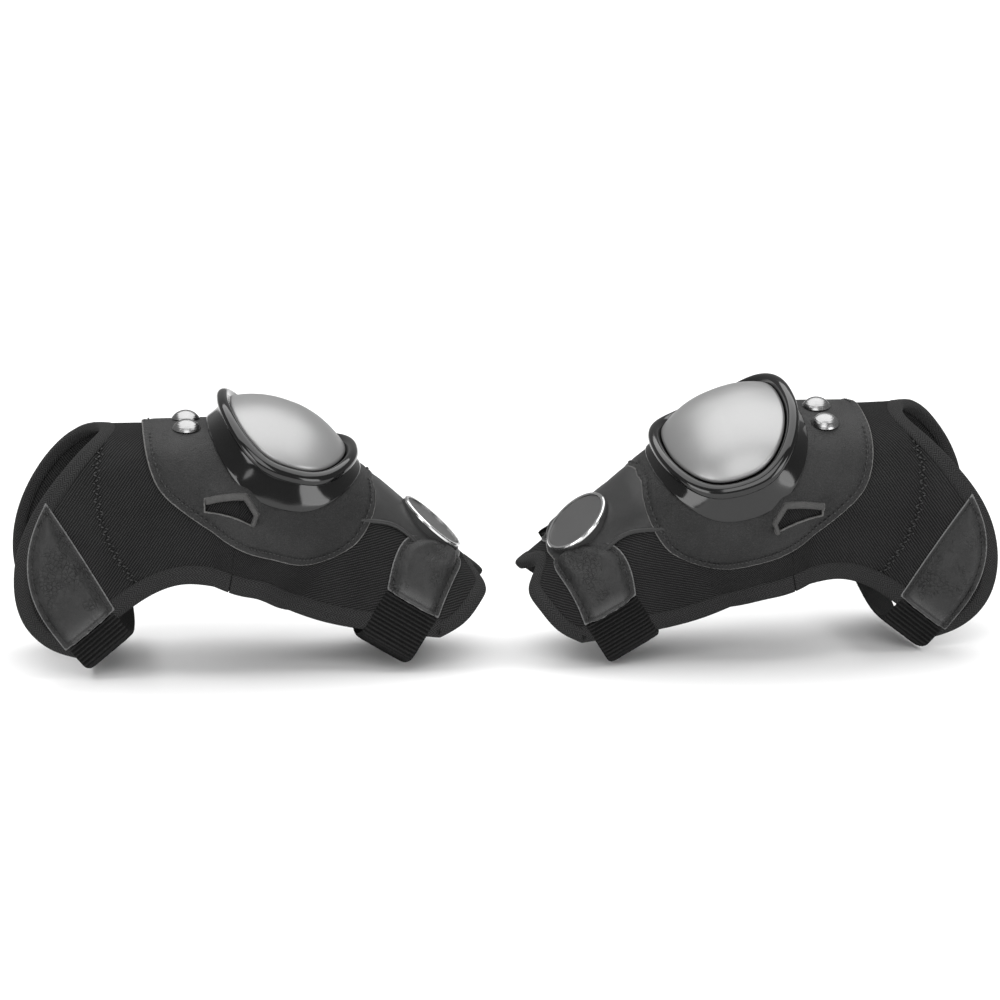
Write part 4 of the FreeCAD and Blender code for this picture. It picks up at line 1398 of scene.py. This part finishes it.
@dataclass
class Cup:
    """The flared gloss cup and the satin dome in its mouth."""

    side: Side
    place: Placing
    centre: float = 51.5
    base: Point2 = (53.0, 75.0)
    neck: Point2 = (44.5, 58.0)
    rim: Point2 = (43.0, 56.5)
    mouth: Point2 = (39.2, 52.2)
    foot: float = 2.7
    rim_height: float = 14.0
    rim_tilt: float = 4.5
    bead: float = 3.6
    squareness: float = 2.4
    dome_rise: float = 8.5
    dome_sink: float = 1.2
    around: int = 168

    def ring(self, axes: Point2, height: Callable[[float], float]) -> np.ndarray:
        """Points round the cup at these half axes."""
        power = 2.0 / self.squareness
        angles = np.arange(self.around) * math.tau / self.around
        along = np.sign(np.cos(angles)) * np.abs(np.cos(angles)) ** power
        across = np.sign(np.sin(angles)) * np.abs(np.sin(angles)) ** power
        heights = np.array([height(a) for a in angles])
        return SKIN.at(self.centre + axes[0] * along, axes[1] * across, heights)

    def top(self, angle: float) -> float:
        """Height of the rim's middle over the skin."""
        return self.rim_height - self.rim_tilt * math.cos(angle)

    def circled(self, name: str, rings: list[np.ndarray], finish: Finish, closed: bool) -> bpy.types.Object:
        """A surface of rings that starts as a circle and is extruded ring by ring."""
        bpy.ops.object.select_all(action="DESELECT")
        bpy.ops.mesh.primitive_circle_add(vertices=self.around, radius=1.0)
        obj = bpy.context.object
        bpy.ops.object.mode_set(mode="EDIT")
        bpy.ops.mesh.select_all(action="SELECT")
        for _ in rings[1:]:
            bpy.ops.mesh.extrude_region_move(TRANSFORM_OT_translate={"value": (0.0, 0.0, 1.0)})
        bpy.ops.object.mode_set(mode="OBJECT")
        level = np.array([round(v.co.z) for v in obj.data.vertices])
        turn = np.array([math.atan2(v.co.y, v.co.x) for v in obj.data.vertices])
        slot = np.rint(turn / math.tau * self.around).astype(int) % self.around
        places = np.array(rings)[level, slot]
        obj.data.vertices.foreach_set("co", self.place.world(places).ravel())
        obj.name = obj.data.name = name
        bpy.ops.object.mode_set(mode="EDIT")
        bpy.ops.mesh.select_all(action="SELECT")
        if closed:
            bpy.ops.mesh.remove_doubles(threshold=2e-6)
        bpy.ops.mesh.normals_make_consistent(inside=False)
        bpy.ops.object.mode_set(mode="OBJECT")
        bpy.ops.object.shade_smooth()
        obj.location = (0.0, 0.0, 0.0)
        SHOP.dress(obj, finish)
        return obj

    def shell(self) -> bpy.types.Object:
        """The cup: foot, flare, neck, rounded rim and inner wall."""
        def scaled(first: Point2, second: Point2, share: float) -> Point2:
            """Half axes that lie this share of the way from first to second."""
            return tuple(a + (b - a) * share for a, b in zip(first, second))

        def grown(axes: Point2, by: float) -> Point2:
            """Half axes that are larger by this much."""
            return axes[0] + by, axes[1] + by

        rings = []
        foot_top = self.foot + 1.3
        neck_top = -self.bead * 1.1 - foot_top
        outline = [(self.base, lambda a: self.foot), (grown(self.base, 0.35), lambda a: self.foot + 0.7),
                   (self.base, lambda a: foot_top)]
        for axes, height in outline:
            rings.append(self.ring(axes, height))
        for share in (0.12, 0.3, 0.5, 0.7, 0.86, 1.0):
            lean = 1.0 - (1.0 - share) ** 1.7
            rings.append(self.ring(scaled(self.base, self.neck, lean),
                                   lambda a, k=share: foot_top + (self.top(a) + neck_top) * k))
        for k in range(13):
            turn = math.radians(-62.0 + 20.0 * k)
            rings.append(self.ring(grown(self.rim, self.bead * math.cos(turn) + 0.6),
                                   lambda a, t=turn: self.top(a) + self.bead * math.sin(t)))
        rings.append(self.ring(self.mouth, lambda a: self.top(a) - 3.2))
        rings.append(self.ring(self.mouth, lambda a: self.foot))
        rings.append(rings[0])
        obj = self.circled(f"{self.side.value}_cup_gloss", rings, Finish.CUP, True)
        subdivide(obj)
        return obj

    def dome(self) -> bpy.types.Object:
        """The dome, from its edge inside the mouth to its crown."""
        rings = []
        for share in list(np.linspace(1.0, 0.06, 22)) + [0.0]:
            axes = (self.mouth[0] - 0.4) * share, (self.mouth[1] - 0.4) * share
            rings.append(self.ring(axes, lambda a, k=share: self.rim_height - self.dome_sink
                                   - self.rim_tilt * math.cos(a) * k + self.dome_rise * (1.0 - k * k)))
        floor = [self.ring(((self.mouth[0] - 0.4) * share, (self.mouth[1] - 0.4) * share),
                           lambda a: self.top(a) - 4.0) for share in (0.0, 0.5, 1.0)]
        return self.circled(f"{self.side.value}_dome_satin", floor + rings, Finish.DOME, True)

    def build(self) -> None:
        """Make both pieces."""
        s = self.side.value
        shell, dome = self.shell(), self.dome()
        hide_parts(f"{s}_cup_shell")
        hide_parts(f"{s}_cup_dome")
        for piece in (shell, dome):
            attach(piece, f"{s}_knee")


# ---------------------------------------------------------------- straps


@dataclass
class Strap:
    """A ribbed elastic band round the back of the leg."""

    side: Side
    place: Placing
    kind: str
    tab_edge: tuple[Point2, Point2]
    half_leg: float
    wall_foot: float
    drop: float
    hold: float
    swing_room: float = 0.0
    width: float = 39.0
    thick: float = 1.9
    clear: float = 0.5
    start: float = 1.0
    rib_pitch: float = 2.9
    rib_height: float = 0.8
    tab_and_hook: float = 3.2

    def route(self) -> np.ndarray:
        """Middle line of the band's inner face in its own plane, as (y, d)."""
        near = -(self.half_leg + self.clear)
        far = self.half_leg + self.tab_and_hook + 2 * self.clear + self.swing_room
        half, power, points = (far - near) / 2.0, 0.8, [(near, self.start)]
        for turn in np.linspace(0.0, math.pi, 41):
            across = math.copysign(abs(math.cos(turn)) ** power, math.cos(turn))
            deep = (self.drop - self.wall_foot) * max(math.sin(turn), 0.0) ** power
            points.append((near + half * (1.0 - across), self.wall_foot + deep))
        points.append((far, -self.hold))
        return np.array(evened(points, self.rib_pitch / 6.0) + [points[-1]])

    def axes(self) -> tuple[np.ndarray, np.ndarray, np.ndarray]:
        """Middle of the tab's lower edge, the band's width direction and its downward direction."""
        def wall(u: float, v: float) -> np.ndarray:
            """Where a point of an outline meets the flat wall of the leg."""
            return np.array([u, 0.0, (v + self.half_leg * math.sin(VIEW_TILT)) / math.cos(VIEW_TILT)])
        a, b = wall(*self.tab_edge[0]), wall(*self.tab_edge[1])
        along = (b - a) / np.linalg.norm(b - a)
        return (a + b) / 2.0, along, np.array([along[2], 0.0, -along[0]])

    def build(self) -> None:
        """Make the band with its ribs."""
        s = self.side.value
        middle, along, down = self.axes()
        line = self.route()
        run = np.append(0.0, np.cumsum(np.linalg.norm(np.diff(line, axis=0), axis=1)))
        tangent = np.gradient(line, axis=0)
        tangent /= np.linalg.norm(tangent, axis=1, keepdims=True)
        out = np.stack([-tangent[:, 1], tangent[:, 0]], 1)
        if out[len(out) // 2, 1] < 0:
            out = -out
        widths = np.linspace(-1.0, 1.0, 27)
        rounded = np.sqrt(np.maximum(1.0 - np.abs(widths) ** 10, 0.0))
        rng = np.random.default_rng(7)
        rings = []
        for (y, d), (oy, od), at in zip(line, out, run):
            rib = self.rib_height * (0.5 + 0.5 * math.cos(at * math.tau / self.rib_pitch))
            fuzz = rng.uniform(-0.1, 0.1, len(widths))
            flat = np.abs(widths) > 0.93
            lift = np.where(flat, self.thick * 0.55, self.thick - self.rib_height + rib + fuzz) * rounded
            dip = np.where(flat, self.thick * 0.35, self.thick * 0.1) * rounded
            ring = []
            for w, h in list(zip(widths, lift)) + list(zip(widths[::-1], dip[::-1])):
                ring.append(middle + down * (d + od * h) + along * (w * self.width / 2)
                            + np.array([0, y + oy * h, 0]))
            rings.append(ring)
        obj = swept(f"{s}_{self.kind}_strap_webbing", self.place, np.array(rings), Finish.WEBBING)
        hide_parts(f"{s}_{self.kind}_strap")
        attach(obj, f"{s}_{self.kind}_strap")


# ---------------------------------------------------------------- one guard, the room and the script


@dataclass
class Guard:
    """One knee guard."""

    side: Side

    def metal_and_badge(self) -> None:
        """Dress the frame's own nodes that stay."""
        kept = {"rivets": Finish.RIVET, "rivet_washers": Finish.RIVET, "badge_base": Finish.BACKING,
                "badge_rim": Finish.BRIGHT, "badge_disc": Finish.BADGE, "thigh_strap_hook": Finish.HOOKS,
                "shin_strap_hook": Finish.HOOKS}
        for node, finish in kept.items():
            SHOP.dress(frame["nodes"][f"{self.side.value}_{node}"], finish)

    def build(self) -> None:
        """Make every sub-assembly in order."""
        place = Placing(self.side)
        TextileBody(self.side, place).build()
        LOG.info("%s textile done", self.side.value)
        Bib(self.side, place).build()
        Tab(self.side, place, "thigh", PATTERN.thigh_tab_line, "thigh").build()
        Tab(self.side, place, "shin", PATTERN.shin_tab_line, "shin").build()
        ShinPanel(self.side, place).build()
        LOG.info("%s leather done", self.side.value)
        Cup(self.side, place).build()
        thigh_edge = (PATTERN.thigh_tab[-1], PATTERN.thigh_tab_front[0])
        shin_edge = (PATTERN.shin_tab[0], PATTERN.shin_tab[-1])
        Strap(self.side, place, "thigh", thigh_edge, LEG.widths[0], 14.0, 24.0, 34.0).build()
        Strap(self.side, place, "shin", shin_edge, LEG.widths[2], 28.0, 42.0, 24.0, 1.2).build()
        self.metal_and_badge()
        LOG.info("%s guard done", self.side.value)


@dataclass
class Studio:
    """Floor, soft lights and camera."""

    distance: float = 6.0
    span: float = 0.667
    elevation: float = math.radians(15.0)
    aim_from_knee: Point2 = (0.1696, -0.0227)

    def soft_box(self, name: str, place: tuple, aim: tuple, size: float, power: float) -> None:
        """One area light that points at aim."""
        data = bpy.data.lights.new(name, "AREA")
        data.shape = "SQUARE"
        data.size = size
        data.energy = power
        lamp = bpy.data.objects.new(name, data)
        lamp.location = place
        lamp.rotation_euler = (Vector(aim) - Vector(place)).to_track_quat("-Z", "Y").to_euler()
        bpy.context.collection.objects.link(lamp)

    def floor(self) -> None:
        """A plain pale floor."""
        bpy.ops.object.select_all(action="DESELECT")
        bpy.ops.mesh.primitive_plane_add(size=24.0)
        plane = bpy.context.object
        plane.name = "floor"
        paint = Painter("floor_white")
        haze = paint.noise(3.0)
        colour = paint.mix(haze, grey(0.86), grey(0.9))
        plane.data.materials.append(paint.surface(Base_Color=colour, Roughness=0.8))

    def build(self) -> None:
        """Make the studio."""
        scene = bpy.context.scene
        self.floor()
        world = bpy.data.worlds.new("studio")
        world.use_nodes = True
        world.node_tree.nodes["Background"].inputs[0].default_value = (1.0, 1.0, 1.0, 1.0)
        world.node_tree.nodes["Background"].inputs[1].default_value = 0.3
        scene.world = world
        centre = (0.0, 0.0, 0.1)
        self.soft_box("overhead_box", (0.0, 1.0, 2.6), (0.0, 1.0, 0.0), 4.6, 165.0)
        self.soft_box("front_box", (-0.1, -2.0, 1.5), centre, 1.5, 22.0)
        self.soft_box("left_box", (-1.3, -1.2, 0.32), (-0.17, 0.0, 0.08), 0.9, 11.0)
        self.soft_box("right_box", (1.3, -1.2, 0.32), (0.17, 0.0, 0.08), 0.9, 11.0)
        scene.view_settings.view_transform = "Standard"
        data = bpy.data.cameras.new("camera")
        data.sensor_width = 36.0
        data.lens = 36.0 * self.distance / self.span
        data.clip_end = 60.0
        camera = bpy.data.objects.new("camera", data)
        back = Vector((0.0, -math.cos(self.elevation), math.sin(self.elevation)))
        knee = Placing(Side.RIGHT).origin
        right, up = Vector((1.0, 0.0, 0.0)), Vector((0.0, math.sin(self.elevation), math.cos(self.elevation)))
        aim = knee + right * self.aim_from_knee[0] + up * self.aim_from_knee[1]
        camera.location = aim + back * self.distance
        camera.rotation_euler = (-back).to_track_quat("-Z", "Y").to_euler()
        bpy.context.collection.objects.link(camera)
        scene.camera = camera


def main() -> None:
    """Build both guards and the studio."""
    logging.basicConfig(level=logging.INFO, format="%(asctime)s %(message)s")
    Studio().build()
    for side in Side:
        Guard(side).build()


if __name__ == "__main__":
    main()
